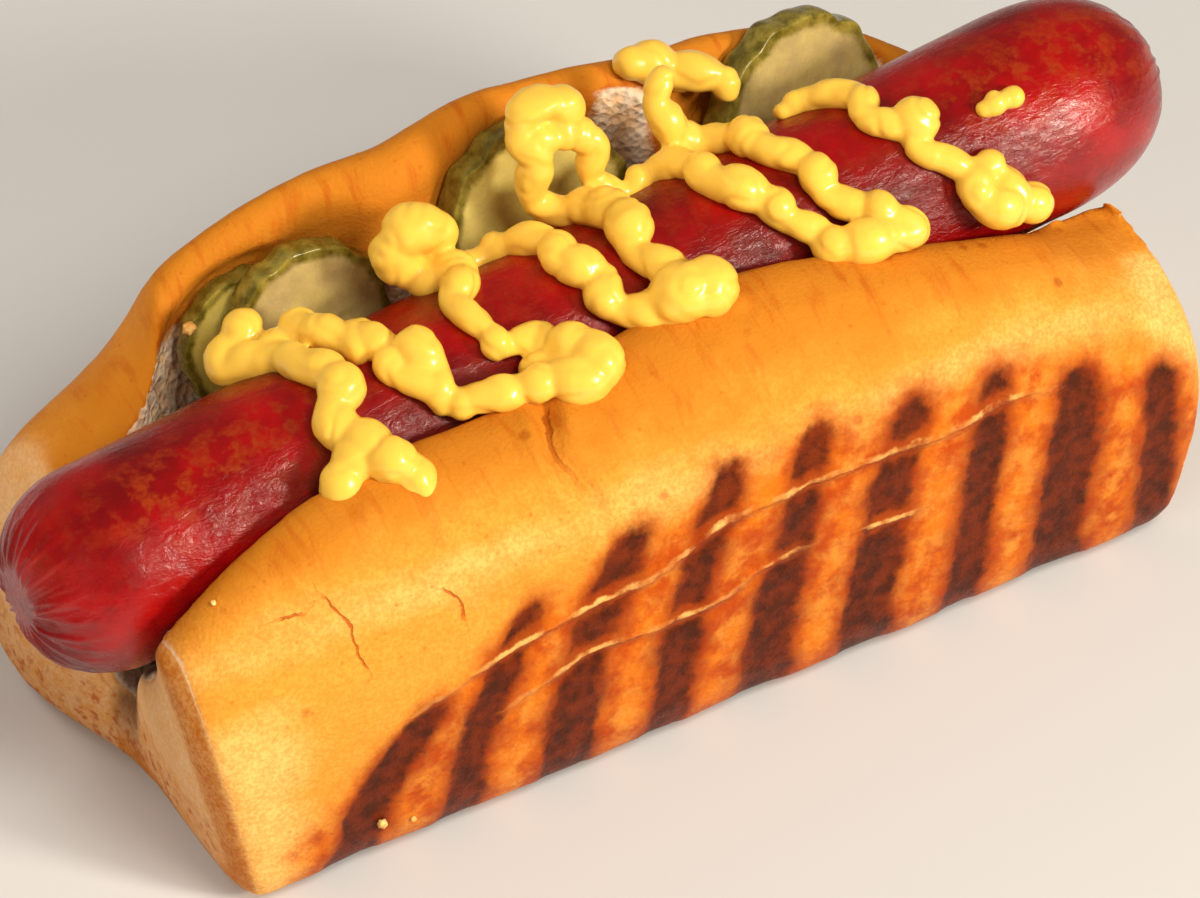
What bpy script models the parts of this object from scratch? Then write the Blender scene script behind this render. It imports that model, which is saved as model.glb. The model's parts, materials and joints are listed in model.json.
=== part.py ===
"""Grilled hot dog: a top-split bun, a long sausage, slices of pickled cucumber and piped mustard.

X runs along the sausage, Y to the back half of the bun and Z up. The origin is the middle of the bun's flat
base. All sizes below are in millimetres; the meshes are written in metres.
"""

import math

import bmesh
import bpy
from mathutils import Matrix, Vector
from mathutils.bvhtree import BVHTree

MM = 0.001

# Driving sizes
BUN_HALF_WIDTH = 30.0
LIP_TOP = 55.0
SHOULDER_TOP = 44.0
CREST_TOP = 62.0
SPLIT_FLOOR = 12.0
POCKET_DEPTH = 22.0
SAUSAGE_TAIL = Vector((-84.5, -2.3, 36.6))
SAUSAGE_HEAD = Vector((82.0, 2.6, 50.2))
TAIL_RADIUS = 12.9
HEAD_RADIUS = 13.8
THREAD = 1.95
GAP = 0.45
BUN_GAP = 0.7
REACH = 12.0

# How finely the solids are faceted; the last is the mustard's facets for each bead
SAUSAGE_SIDES = 24
SAUSAGE_RINGS = 24
PICKLE_SIDES = 24
BUN_LEFT = -53.0
BUN_PITCH = 6.75
BUN_STATIONS = 17
BUN_FACES = 3600
MUSTARD_VOXEL = 0.55
MUSTARD_FACES = 4.6

CRUST = (0.80, 0.47, 0.16)
SAUSAGE_RED = (0.45, 0.02, 0.02)
PICKLE_GREEN = (0.36, 0.37, 0.16)
MUSTARD_YELLOW = (0.93, 0.62, 0.05)

# Slices of cucumber: middle, radius, thickness, degrees the face is turned to the right and leans back
PICKLES = {
    "pickle_1": ((-34.4, 16.5, 45.8), 11.8, 4.2, 2.0, 12.0),
    "pickle_2": ((-40.5, 20.3, 43.5), 10.2, 3.2, -2.0, 12.0),
    "pickle_3": ((-1.0, 17.6, 49.2), 14.0, 4.4, 2.0, 12.0),
    "pickle_4": ((39.4, 19.6, 46.6), 14.6, 4.6, 12.0, 14.0),
}

# Piped strokes. Each runs smoothly through its turns: (x, degrees round the sausage from its top to the near
# side, lift off its skin, fullness of the thread)
MUSTARD = {
    "mustard_1": (
        ((-45, -45, 4, 1.2), (-49, -45, 1, 1.2), (-45, -30, 0, 1.1), (-42, -3, 0, 1.2), (-41, 16, 0, 1.35),
         (-44, 32, 0, 1.3), (-42, 44, 1, 1.4), (-47, 56, 2, 1.3)),
        ((-42, 44, 1, 1.4), (-41, 52, 4, 1.4), (-38, 60, 4, 1.3), (-39, 67, 6, 1.1)),
        ((-44, -35, 0, 1.1), (-39, -35, 1, 1.2), (-37, -4, 0, 1.0), (-34, -9, 0, 1.2), (-34, 12, 0, 0.95),
         (-31, 34, 0, 0.95), (-29, 46, 0, 0.95), (-24, 50, 2, 1.1), (-17, 54, 4, 1.2), (-13, 58, 5, 1.6),
         (-11, 50, 4, 1.4), (-14, 44, 2, 1.2), (-18, 48, 1, 1.0)),
        ((-30, 15, 0, 1.35), (-30, 32, 0, 1.0), (-29, 46, 0, 0.95)),
        ((-19, -32, 4, 1.0), (-20, -29, 6, 1.4), (-24, -29, 6, 1.5), (-25, -34, 3, 1.4), (-22, -33, 0, 1.2),
         (-19, -23, 0, 1.2), (-21, -4, 0, 1.0), (-22, 16, 0, 0.95), (-20, 31, 0, 0.95), (-15, 35, 0, 0.9)),
    ),
    "mustard_2": (
        ((-16, -36, 0, 0.7), (-10, -32, 0, 1.0), (-8, -15, 0, 1.0), (-7, 7, 0, 1.3), (-5, 22, 0, 1.05),
         (-5, 34, 0, 1.2), (-2, 46, 1, 1.1), (3, 46, 3, 2.0), (6, 48, 3, 2.0)),
        ((4, 44, 2, 1.4), (2, 20, 0, 1.05), (2, 4, 0, 1.4), (1, -20, 0, 1.2), (-3, -33, 1, 1.0),
         (-5, -27, 8, 1.1), (-4, -25, 15, 1.2), (0, -25, 14, 1.3), (3, -28, 7, 1.0), (5, -32, 0, 0.8),
         (9, -32, 0, 0.85),
         (13, -31, 0, 1.0), (15, -6, 0, 1.1), (18, 18, 0, 1.3), (22, 38, 0, 1.0), (25, 57, 1, 1.2),
         (30, 60, 3, 1.4), (35, 63, 3, 1.1), (32, 50, 2, 1.1), (29, 42, 0, 1.0), (27, 22, 0, 1.1),
         (25, 4, 0, 1.0), (24, -6, 0, 1.3), (22, -24, 0, 1.0), (18, -34, 1, 1.1), (15, -33, 3, 1.2),
         (15, -29, 7, 1.0), (15, -30, 11, 0.8)),
        ((-4, -26, 11, 1.1), (1, -26, 10, 1.1)),
    ),
    "mustard_3": (
        ((30, -34, 0, 0.7), (35, -28, 0, 0.9), (38, -5, 0, 1.0), (39, 17, 0, 1.0), (43, 22, 0, 1.3),
         (42, 35, 0, 0.9), (45, 50, 0, 1.0), (48, 72, 1, 1.4), (52, 78, 1, 1.3), (56, 85, 1, 1.1)),
        ((47, 55, 0, 1.1), (51, 60, 0, 1.0), (51, 73, 1, 1.2)),
    ),
    "mustard_4": (((51, 29, 0, 0.7), (57, 33, 0, 0.8)),),
    "mustard_5": (((16, -52, 13, 1.2), (22, -53, 10, 1.4), (28, -51, 5, 0.8)),),
}


def smooth_step(low, high, value):
    """0 at low, 1 at high and a smooth change between them."""
    share = min(1.0, max(0.0, (value - low) / (high - low)))
    return share * share * (3.0 - 2.0 * share)


def bell(centre, width, value):
    """A smooth bump of height 1 at centre."""
    return math.exp(-(((value - centre) / width) ** 2))


def ridge(x, middle, top, left, right):
    """Height of a ridge that falls from its top to both ends; an end is (x, height, how late it falls)."""
    end, height, lateness = left if x < middle else right
    share = min(1.0, (x - middle) / (end - middle))
    return top - (top - height) * share**lateness


def between(before, start, stop, after, share):
    """A smooth curve from start to stop that also heeds the points before and after them."""
    return 0.5 * (
        2 * start
        + (stop - before) * share
        + (2 * before - 5 * start + 4 * stop - after) * share**2
        + (3 * start - before - 3 * stop + after) * share**3
    )


# ---------------------------------------------------------------- sausage


def sausage_axis(x):
    """Centre of the sausage at x: it lies a little askew and its right end rides up out of the bun."""
    share = (x - SAUSAGE_TAIL.x) / (SAUSAGE_HEAD.x - SAUSAGE_TAIL.x)
    return SAUSAGE_TAIL.lerp(SAUSAGE_HEAD, share)


def sausage_radius(x):
    """Radius at x: a touch fuller to the right, with a blunt left end and a longer right one."""
    share = (x - SAUSAGE_TAIL.x) / (SAUSAGE_HEAD.x - SAUSAGE_TAIL.x)
    body = TAIL_RADIUS + (HEAD_RADIUS - TAIL_RADIUS) * share
    left = (x - SAUSAGE_TAIL.x) / 13.0
    right = (SAUSAGE_HEAD.x - x) / 20.0
    if left < 1.0:
        body *= max(0.0, 1.0 - (1.0 - left) ** 2.3) ** (1 / 2.15)
    if right < 1.0:
        body *= max(0.0, 1.0 - (1.0 - right) ** 2.5) ** (1 / 2.25)
    return body


def sausage_rings(count):
    """Places from tip to tip, closer together towards both."""
    middle = (SAUSAGE_TAIL.x + SAUSAGE_HEAD.x) / 2
    half = (SAUSAGE_HEAD.x - SAUSAGE_TAIL.x) / 2
    places = []
    for i in range(count):
        t = 2 * i / (count - 1) - 1
        places.append(middle + half * (0.25 * t + 0.75 * math.sin(math.pi * t / 2)))
    return places


def make_sausage():
    """Rings across the axis, closed by a point at each end."""
    mesh = bmesh.new()
    along = (SAUSAGE_HEAD - SAUSAGE_TAIL).normalized()
    side_way = Vector((0.0, 0.0, 1.0)).cross(along).normalized()
    up_way = along.cross(side_way)
    rings = []
    for x in sausage_rings(SAUSAGE_RINGS)[1:-1]:
        centre = sausage_axis(x)
        radius = sausage_radius(x)
        ring = []
        for side in range(SAUSAGE_SIDES):
            angle = 2 * math.pi * side / SAUSAGE_SIDES
            out = math.cos(angle) * side_way + math.sin(angle) * up_way
            ring.append(mesh.verts.new((centre + radius * out) * MM))
        rings.append(ring)
    for ring, after in zip(rings, rings[1:]):
        for side in range(SAUSAGE_SIDES):
            nxt = (side + 1) % SAUSAGE_SIDES
            mesh.faces.new((ring[side], ring[nxt], after[nxt], after[side]))
    for ring, tip in ((rings[0], SAUSAGE_TAIL), (rings[-1], SAUSAGE_HEAD)):
        point = mesh.verts.new(tip * MM)
        for side in range(SAUSAGE_SIDES):
            mesh.faces.new((ring[side], ring[(side + 1) % SAUSAGE_SIDES], point))
    return finish("sausage", mesh, SAUSAGE_RED, 0.35)


# ---------------------------------------------------------------- pickles


def make_pickle(name):
    """A round slice with a wavy, slightly rounded rim and gently dished faces."""
    middle, radius, thickness, turn, lean = PICKLES[name]
    mesh = bmesh.new()
    half = thickness / 2
    # (share of the radius, height of the face above the middle plane)
    profile = ((0.0, 0.86 * half), (0.45, 0.9 * half), (0.84, half), (0.97, 0.72 * half), (1.0, 0.0))
    profile += tuple((share, -height) for share, height in reversed(profile[:-1]))
    rings = []
    for share, height in profile:
        if share == 0.0:
            rings.append([mesh.verts.new((0.0, 0.0, height))])
            continue
        ring = []
        for side in range(PICKLE_SIDES):
            angle = 2 * math.pi * side / PICKLE_SIDES
            wave = 1.0 + 0.022 * share * math.cos(10 * angle + radius)
            reach = radius * share * wave
            bend = 0.35 * math.cos(2 * angle + radius) * share * share
            point = (reach * math.cos(angle), reach * math.sin(angle), height + bend)
            ring.append(mesh.verts.new(point))
        rings.append(ring)
    for ring, after in zip(rings, rings[1:]):
        for side in range(PICKLE_SIDES):
            nxt = (side + 1) % PICKLE_SIDES
            if len(ring) == 1:
                mesh.faces.new((ring[0], after[side], after[nxt]))
            elif len(after) == 1:
                mesh.faces.new((ring[side], after[0], ring[nxt]))
            else:
                mesh.faces.new((ring[side], after[side], after[nxt], ring[nxt]))
    stand = Matrix.Rotation(math.radians(90.0), 4, "X")
    tip_back = Matrix.Rotation(math.radians(-lean), 4, "X")
    swing = Matrix.Rotation(math.radians(turn), 4, "Z")
    place = Matrix.Translation(Vector(middle) * MM) @ swing @ tip_back @ stand @ Matrix.Scale(MM, 4)
    bmesh.ops.transform(mesh, matrix=place, verts=mesh.verts)
    return finish(name, mesh, PICKLE_GREEN, 0.3)


# ---------------------------------------------------------------- bun


def near_lip(x):
    """Height of the near half's lip above the base: low at the ends, with a dip where the crust is folded."""
    return ridge(x, 12.0, LIP_TOP, (-76.0, 33.5, 4.0), (72.0, 37.5, 1.5)) - 4.5 * bell(-24.0, 22.0, x)


def near_shoulder(x):
    """Height at which the near half's top rolls over into its flat side."""
    return ridge(x, 10.0, SHOULDER_TOP, (-76.0, 29.5, 2.0), (72.0, 29.0, 2.0))


def back_crest(x):
    """Height of the back half, highest where the slices push it up."""
    return ridge(x, -3.0, CREST_TOP, (-77.0, 30.0, 3.0), (72.0, 35.5, 2.5)) + 1.6 * bell(-7.0, 6.0, x)


def back_wall(x):
    """How far back the inner face of the back half stands; it closes on the sausage at the ends."""
    pocket = POCKET_DEPTH + 3.0 * smooth_step(25.0, 55.0, x)
    closed = 12.0
    open_share = smooth_step(-64.0, -51.0, x) * (1.0 - smooth_step(54.0, 67.0, x))
    necks = 5.5 * bell(-18.5, 6.0, x) + 3.0 * bell(19.0, 6.5, x)
    return closed + (pocket - closed) * open_share - necks


def bun_section(x):
    """The bun's outline at x: two rows of (y, z), outer and inner, from the near lip round to the back lip."""
    w = BUN_HALF_WIDTH
    lip, shoulder, back, wall = near_lip(x), near_shoulder(x), back_crest(x), back_wall(x)
    axis = sausage_axis(x)
    ay, az = axis.y, axis.z
    r = TAIL_RADIUS + (HEAD_RADIUS - TAIL_RADIUS) * 0.5 + 1.2
    rise = max(-0.95, min(0.95, (lip - az) / r))
    lip_y = ay - r * math.cos(math.asin(rise))
    outer = [
        (lip_y - 1.6, lip + 1.2),
        (0.5 * (lip_y - w), max(lip + 1.6, shoulder + 2.5)),
        (-0.95 * w, shoulder + 3.5),
        (-1.05 * w, shoulder - 3.5),
        (-1.07 * w, 0.55 * shoulder),
        (-1.09 * w, 4.0),
        (-1.00 * w, 0.0),
        (-0.50 * w, 0.0),
        (0.0, 0.0),
        (0.45 * w, 0.0),
        (0.90 * w, 0.0),
        (1.02 * w, 6.0),
        (1.06 * w, 0.34 * back),
        (1.08 * w, 0.64 * back),
        (1.01 * w, 0.90 * back),
        (0.4 * wall + 0.6 * w + 0.6, back + 1.6),
        (0.75 * wall + 0.25 * w - 0.4, back + 0.8),
        (wall + 0.6, back - 4.0),
    ]
    inner = [
        (lip_y - 0.4, lip - 1.4),
        (ay - 0.5 * (r + abs(lip_y - ay)) - 0.6, 0.5 * (lip + az) - 2.0),
        (ay - 0.98 * r, az - 4.0),
        (ay - 0.84 * r, az - 8.0),
        (ay - 0.60 * r, az - 12.0),
        (ay - 0.34 * r, az - 15.5),
        (-2.6, 0.5 * (az - 17.5 + SPLIT_FLOOR) + 3.0),
        (-1.5, SPLIT_FLOOR + 3.5),
        (0.0, SPLIT_FLOOR - 1.0),
        (1.5, SPLIT_FLOOR + 3.5),
        (2.8, 0.5 * (az - 17.5 + SPLIT_FLOOR) + 3.0),
        (ay + 0.42 * r, az - 16.0),
        (0.35 * (ay + 0.70 * r) + 0.65 * (wall - 3.0), az - 14.0),
        (wall - 1.6, az - 7.5),
        (wall - 0.4, az - 2.0),
        (wall + 0.4, 0.6 * az + 0.4 * (back - 7.0)),
        (wall + 1.2, 0.25 * az + 0.75 * (back - 7.0)),
        (wall + 1.6, back - 6.4),
    ]
    return outer, inner


def end_reach(side, y, z):
    """How far the bun's end stands out at a height and depth: each half bulges and the seam draws in."""
    seam = 2.8 * bell(2.5, 7.0, y)
    if side < 0:
        near = 70.0 + 4.0 * smooth_step(2.0, 30.0, z)
        far = 77.0 - 1.5 * smooth_step(0.0, 20.0, z) - 15.0 * smooth_step(22.0, 56.0, z)
        return near + (far - near) * smooth_step(-8.0, 16.0, y) - seam
    near = 67.5 + 4.5 * smooth_step(0.0, 18.0, z) - 4.0 * smooth_step(26.0, 48.0, z)
    far = 68.5 + 3.5 * smooth_step(0.0, 20.0, z) - 3.0 * smooth_step(30.0, 60.0, z)
    return near + (far - near) * smooth_step(-8.0, 16.0, y) - seam


def bun_cage(mesh):
    """A box-like cage bent into a deep U, with rows of points across its lips and ends."""
    stations = [("end", -1, 0.0), ("end", -1, 3.2), ("end", -1, 10.0)]
    stations += [("mid", 0, BUN_LEFT + BUN_PITCH * i) for i in range(BUN_STATIONS)]
    stations += [("end", 1, 10.0), ("end", 1, 3.2), ("end", 1, 0.0)]
    cage = {}
    ends = len(stations) - 1
    skin = 2
    for i, (kind, side, value) in enumerate(stations):
        nominal = value if kind == "mid" else side * (71.5 - value)
        outer, inner = bun_section(nominal)
        rows = len(outer) - 1
        for j, (out, inn) in enumerate(zip(outer, inner)):
            for k in range(skin + 1):
                if k not in (0, skin) and i not in (0, ends) and j not in (0, rows):
                    continue
                share = k / skin
                y = out[0] + (inn[0] - out[0]) * share
                z = out[1] + (inn[1] - out[1]) * share
                x = nominal
                if kind == "end":
                    bulge = 1.2 if k == 1 and i in (0, ends) else 0.0
                    x = side * (end_reach(side, y, z) - value + bulge)
                cage[i, j, k] = mesh.verts.new(Vector((x, y, z)) * MM)
    for i in range(ends):
        for j in range(rows):
            quad(mesh, cage, (i, j, 0), (i + 1, j, 0), (i + 1, j + 1, 0), (i, j + 1, 0))
            quad(mesh, cage, (i, j, skin), (i, j + 1, skin), (i + 1, j + 1, skin), (i + 1, j, skin))
        for k in range(skin):
            quad(mesh, cage, (i, 0, k), (i, 0, k + 1), (i + 1, 0, k + 1), (i + 1, 0, k))
            quad(mesh, cage, (i, rows, k), (i + 1, rows, k), (i + 1, rows, k + 1), (i, rows, k + 1))
    for j in range(rows):
        for k in range(skin):
            quad(mesh, cage, (0, j, k), (0, j + 1, k), (0, j + 1, k + 1), (0, j, k + 1))
            quad(mesh, cage, (ends, j, k), (ends, j, k + 1), (ends, j + 1, k + 1), (ends, j + 1, k))


def quad(mesh, cage, *corners):
    """A face over four of the cage's points."""
    mesh.faces.new([cage[corner] for corner in corners])


def make_bun(neighbours):
    """The bun's cage, rounded by one level of subdivision and pressed clear of what it holds."""
    mesh = bmesh.new()
    bun_cage(mesh)
    rounded = finish("bun_cage", mesh, CRUST, 0.7)
    rounding = rounded.modifiers.new("rounding", "SUBSURF")
    rounding.levels = 1
    rounding.render_levels = 1
    mesh = baked(rounded)
    for _ in range(4):
        press_away(mesh, neighbours, BUN_GAP + 0.2)
    dense = finish("bun_dense", mesh, CRUST, 0.7)
    thin = dense.modifiers.new("thin", "DECIMATE")
    thin.ratio = BUN_FACES / (2 * len(dense.data.polygons))
    mesh = baked(dense)
    for _ in range(4):
        press_away(mesh, neighbours, BUN_GAP)
    for vert in mesh.verts:
        vert.co.z = max(vert.co.z, 0.0)
    return finish("bun", mesh, CRUST, 0.7)


# ---------------------------------------------------------------- mustard


def on_sausage(x, degrees, height):
    """A point at x, degrees round from the sausage's top to the near side, at a height above its skin."""
    share = (x - SAUSAGE_TAIL.x) / (SAUSAGE_HEAD.x - SAUSAGE_TAIL.x)
    reach = TAIL_RADIUS + (HEAD_RADIUS - TAIL_RADIUS) * share + height
    angle = math.radians(degrees)
    return sausage_axis(x) + reach * Vector((0.0, -math.sin(angle), math.cos(angle)))


def stroke_beads(turns):
    """Centres and radii of the beads that run together into one stroke, about half a millimetre apart."""
    turns = [Vector(turn) for turn in turns]
    path = [turns[0], *turns, turns[-1]]
    beads = []
    for before, start, stop, after in zip(path, path[1:], path[2:], path[3:]):
        first, last = on_sausage(*start[:3]), on_sausage(*stop[:3])
        steps = max(3, int((last - first).length / 0.5))
        for step in range(steps + 1):
            x, degrees, lift, fullness = between(before, start, stop, after, step / steps)
            waist = 1.0 - 0.10 * math.sin(math.pi * step / steps)
            radius = THREAD * fullness * waist
            beads.append((on_sausage(x, degrees, lift + 0.8 * radius), radius))
    return beads


def make_mustard(name, neighbours):
    """Overlapping beads run together into one body, then pressed onto what they lie on."""
    mesh = bmesh.new()
    length = 0
    for turns in MUSTARD[name]:
        beads = stroke_beads(turns)
        length += len(beads)
        for centre, radius in beads:
            place = Matrix.Translation(centre * MM)
            bmesh.ops.create_icosphere(mesh, subdivisions=2, radius=1.12 * radius * MM, matrix=place)
    lumps = finish(name + "_lumps", mesh, MUSTARD_YELLOW, 0.3)
    run_together = lumps.modifiers.new("run together", "REMESH")
    run_together.mode = "VOXEL"
    run_together.voxel_size = MUSTARD_VOXEL * MM
    settle = lumps.modifiers.new("settle", "SMOOTH")
    settle.iterations = 4
    settle.factor = 0.5
    mesh = baked(lumps)
    keep_largest(mesh)
    for _ in range(3):
        press_away(mesh, neighbours, GAP)
    share = MUSTARD_FACES * length / (2 * len(mesh.faces))
    thinned = finish(name + "_thinned", mesh, MUSTARD_YELLOW, 0.3)
    thin = thinned.modifiers.new("thin", "DECIMATE")
    thin.ratio = min(1.0, share)
    mesh = baked(thinned)
    for _ in range(3):
        press_away(mesh, neighbours, GAP)
    return finish(name, mesh, MUSTARD_YELLOW, 0.3)


# ---------------------------------------------------------------- shared


def push_out(tree, point, gap):
    """The move that brings a point at least gap outside the surface, or None if it already is."""
    place, normal, _, distance = tree.find_nearest(point, REACH * MM)
    if place is None:
        return None
    if (point - place).dot(normal) < 0.0 and is_inside(tree, point):
        return place + normal * gap * MM - point
    if distance >= gap * MM:
        return None
    away = point - place
    return (away.normalized() if away.length > 1e-7 else normal) * (gap * MM - distance)


def is_inside(tree, point):
    """Whether a straight line from the point crosses the surface an odd number of times."""
    way = Vector((0.31, 0.17, 0.94)).normalized()
    crossings = 0
    start = point
    while crossings < 20:
        hit = tree.ray_cast(start, way)[0]
        if hit is None:
            break
        crossings += 1
        start = hit + way * 1e-6
    return crossings % 2 == 1


def press_away(mesh, neighbours, gap):
    """Moves points closer than gap to a neighbour off its surface, and the middles of edges and faces too."""
    for tree in neighbours:
        moves = {}
        for part in (*mesh.verts, *mesh.edges, *mesh.faces):
            corners = [part] if isinstance(part, bmesh.types.BMVert) else part.verts
            middle = sum((vert.co for vert in corners), Vector()) / len(corners)
            move = push_out(tree, middle, gap)
            if move is None:
                continue
            for vert in corners:
                if vert not in moves or moves[vert].length < move.length:
                    moves[vert] = move
        for vert, move in moves.items():
            vert.co += move


def keep_largest(mesh):
    """Drops every loose part but the largest."""
    mesh.verts.ensure_lookup_table()
    seen = set()
    groups = []
    for vert in mesh.verts:
        if vert.index in seen:
            continue
        group, queue = [], [vert]
        seen.add(vert.index)
        while queue:
            here = queue.pop()
            group.append(here)
            for edge in here.link_edges:
                other = edge.other_vert(here)
                if other.index not in seen:
                    seen.add(other.index)
                    queue.append(other)
        groups.append(group)
    groups.sort(key=len)
    for group in groups[:-1]:
        bmesh.ops.delete(mesh, geom=group, context="VERTS")


def baked(thing):
    """The object's mesh with its modifiers applied, as a bmesh; the object itself is removed."""
    bpy.context.view_layer.update()
    graph = bpy.context.evaluated_depsgraph_get()
    mesh = bmesh.new()
    mesh.from_object(thing, graph)
    bpy.data.objects.remove(thing, do_unlink=True)
    return mesh


def surface_of(thing):
    """A search tree over the object's faces."""
    mesh = bmesh.new()
    mesh.from_mesh(thing.data)
    bmesh.ops.triangulate(mesh, faces=mesh.faces)
    tree = BVHTree.FromBMesh(mesh)
    mesh.free()
    return tree


def finish(name, mesh, colour, roughness):
    """Turns a bmesh into a smooth-shaded object with its own material."""
    bmesh.ops.recalc_face_normals(mesh, faces=mesh.faces)
    data = bpy.data.meshes.new(name)
    mesh.to_mesh(data)
    mesh.free()
    data.shade_smooth()
    material = bpy.data.materials.new(name)
    material.use_nodes = True
    shader = material.node_tree.nodes["Principled BSDF"]
    shader.inputs["Base Color"].default_value = (*colour, 1.0)
    shader.inputs["Roughness"].default_value = roughness
    data.materials.clear()
    data.materials.append(material)
    thing = bpy.data.objects.new(name, data)
    bpy.context.scene.collection.objects.link(thing)
    return thing


def clear_scene():
    for thing in list(bpy.data.objects):
        bpy.data.objects.remove(thing, do_unlink=True)


def main():
    clear_scene()
    sausage = surface_of(make_sausage())
    pickles = [surface_of(make_pickle(name)) for name in PICKLES]
    bun = surface_of(make_bun([sausage, *pickles]))
    solid = [sausage, *pickles, bun]
    for name in MUSTARD:
        solid.append(surface_of(make_mustard(name, solid)))


main()
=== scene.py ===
"""Looks of a grilled hot dog: toasted bun, casing, pickled cucumber, piped mustard and a few crumbs.

Sizes are in millimetres and turned into metres where a mesh is made. X runs along the sausage, Y to the back
half of the bun and Z up. Places on the bun are (x, degrees round from level on its near side); places on the
sausage are (x, degrees round from its top to the near side).
"""

import json
import math

import bmesh
import bpy
import numpy as np
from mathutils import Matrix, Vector, noise
from mathutils.bvhtree import BVHTree

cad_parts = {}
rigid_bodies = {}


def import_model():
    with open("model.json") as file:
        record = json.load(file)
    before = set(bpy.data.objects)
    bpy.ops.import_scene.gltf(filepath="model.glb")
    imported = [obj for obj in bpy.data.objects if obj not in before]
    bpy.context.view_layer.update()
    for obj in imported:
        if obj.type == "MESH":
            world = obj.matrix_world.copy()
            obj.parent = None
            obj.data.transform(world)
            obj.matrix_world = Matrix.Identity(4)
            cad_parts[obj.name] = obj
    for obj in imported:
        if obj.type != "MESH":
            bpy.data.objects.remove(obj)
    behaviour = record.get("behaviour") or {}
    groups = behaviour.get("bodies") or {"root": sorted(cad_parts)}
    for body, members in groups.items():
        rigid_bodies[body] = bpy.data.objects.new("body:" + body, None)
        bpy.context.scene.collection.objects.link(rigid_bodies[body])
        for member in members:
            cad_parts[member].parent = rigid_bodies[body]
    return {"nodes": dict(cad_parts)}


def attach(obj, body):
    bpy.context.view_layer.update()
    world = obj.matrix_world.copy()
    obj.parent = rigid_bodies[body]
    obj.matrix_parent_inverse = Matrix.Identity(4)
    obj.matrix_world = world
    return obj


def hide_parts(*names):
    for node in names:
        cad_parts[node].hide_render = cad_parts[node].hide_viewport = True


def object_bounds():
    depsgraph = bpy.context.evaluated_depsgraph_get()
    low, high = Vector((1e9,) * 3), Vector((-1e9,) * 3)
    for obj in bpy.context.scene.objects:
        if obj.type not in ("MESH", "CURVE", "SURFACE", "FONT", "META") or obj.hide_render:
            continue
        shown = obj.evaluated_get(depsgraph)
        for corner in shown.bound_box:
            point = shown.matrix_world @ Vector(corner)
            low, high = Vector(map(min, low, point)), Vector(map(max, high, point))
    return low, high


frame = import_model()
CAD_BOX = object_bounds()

bl_info = {
    "name": "Grilled hot dog",
    "version": (1, 0, 0),
    "blender": (4, 5, 0),
    "location": "3D View > Sidebar > Hot Dog",
    "description": "Makes the finished surfaces of a grilled hot dog around its solid model",
    "category": "Add Mesh",
}

MM = 0.001
# The bun's angles turn about a line at this height, and a degree is this long on its crust
BUN_AXIS_HEIGHT = 20.0
MM_PER_DEGREE = 0.55
# Degrees below level at which the grill bars start
BAR_FOOT = 32.0
# Where the toasted patch starts along the bun
TOAST_LEFT = -64.0
# A field value that means far outside a patch
OUTSIDE = -20.0
# Lengths over which the sausage's ends round off
LEFT_CAP = 13.0
RIGHT_CAP = 20.0
# Deepest that mustard may lie inside the bun or a slice
SINK = 0.35
# Height of a crumb's middle over what it lies on, as a share of its size
CRUMB_RISE = 0.38
# Share of a slice's radius at which the dark rind starts
RIND_START = 0.87

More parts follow.
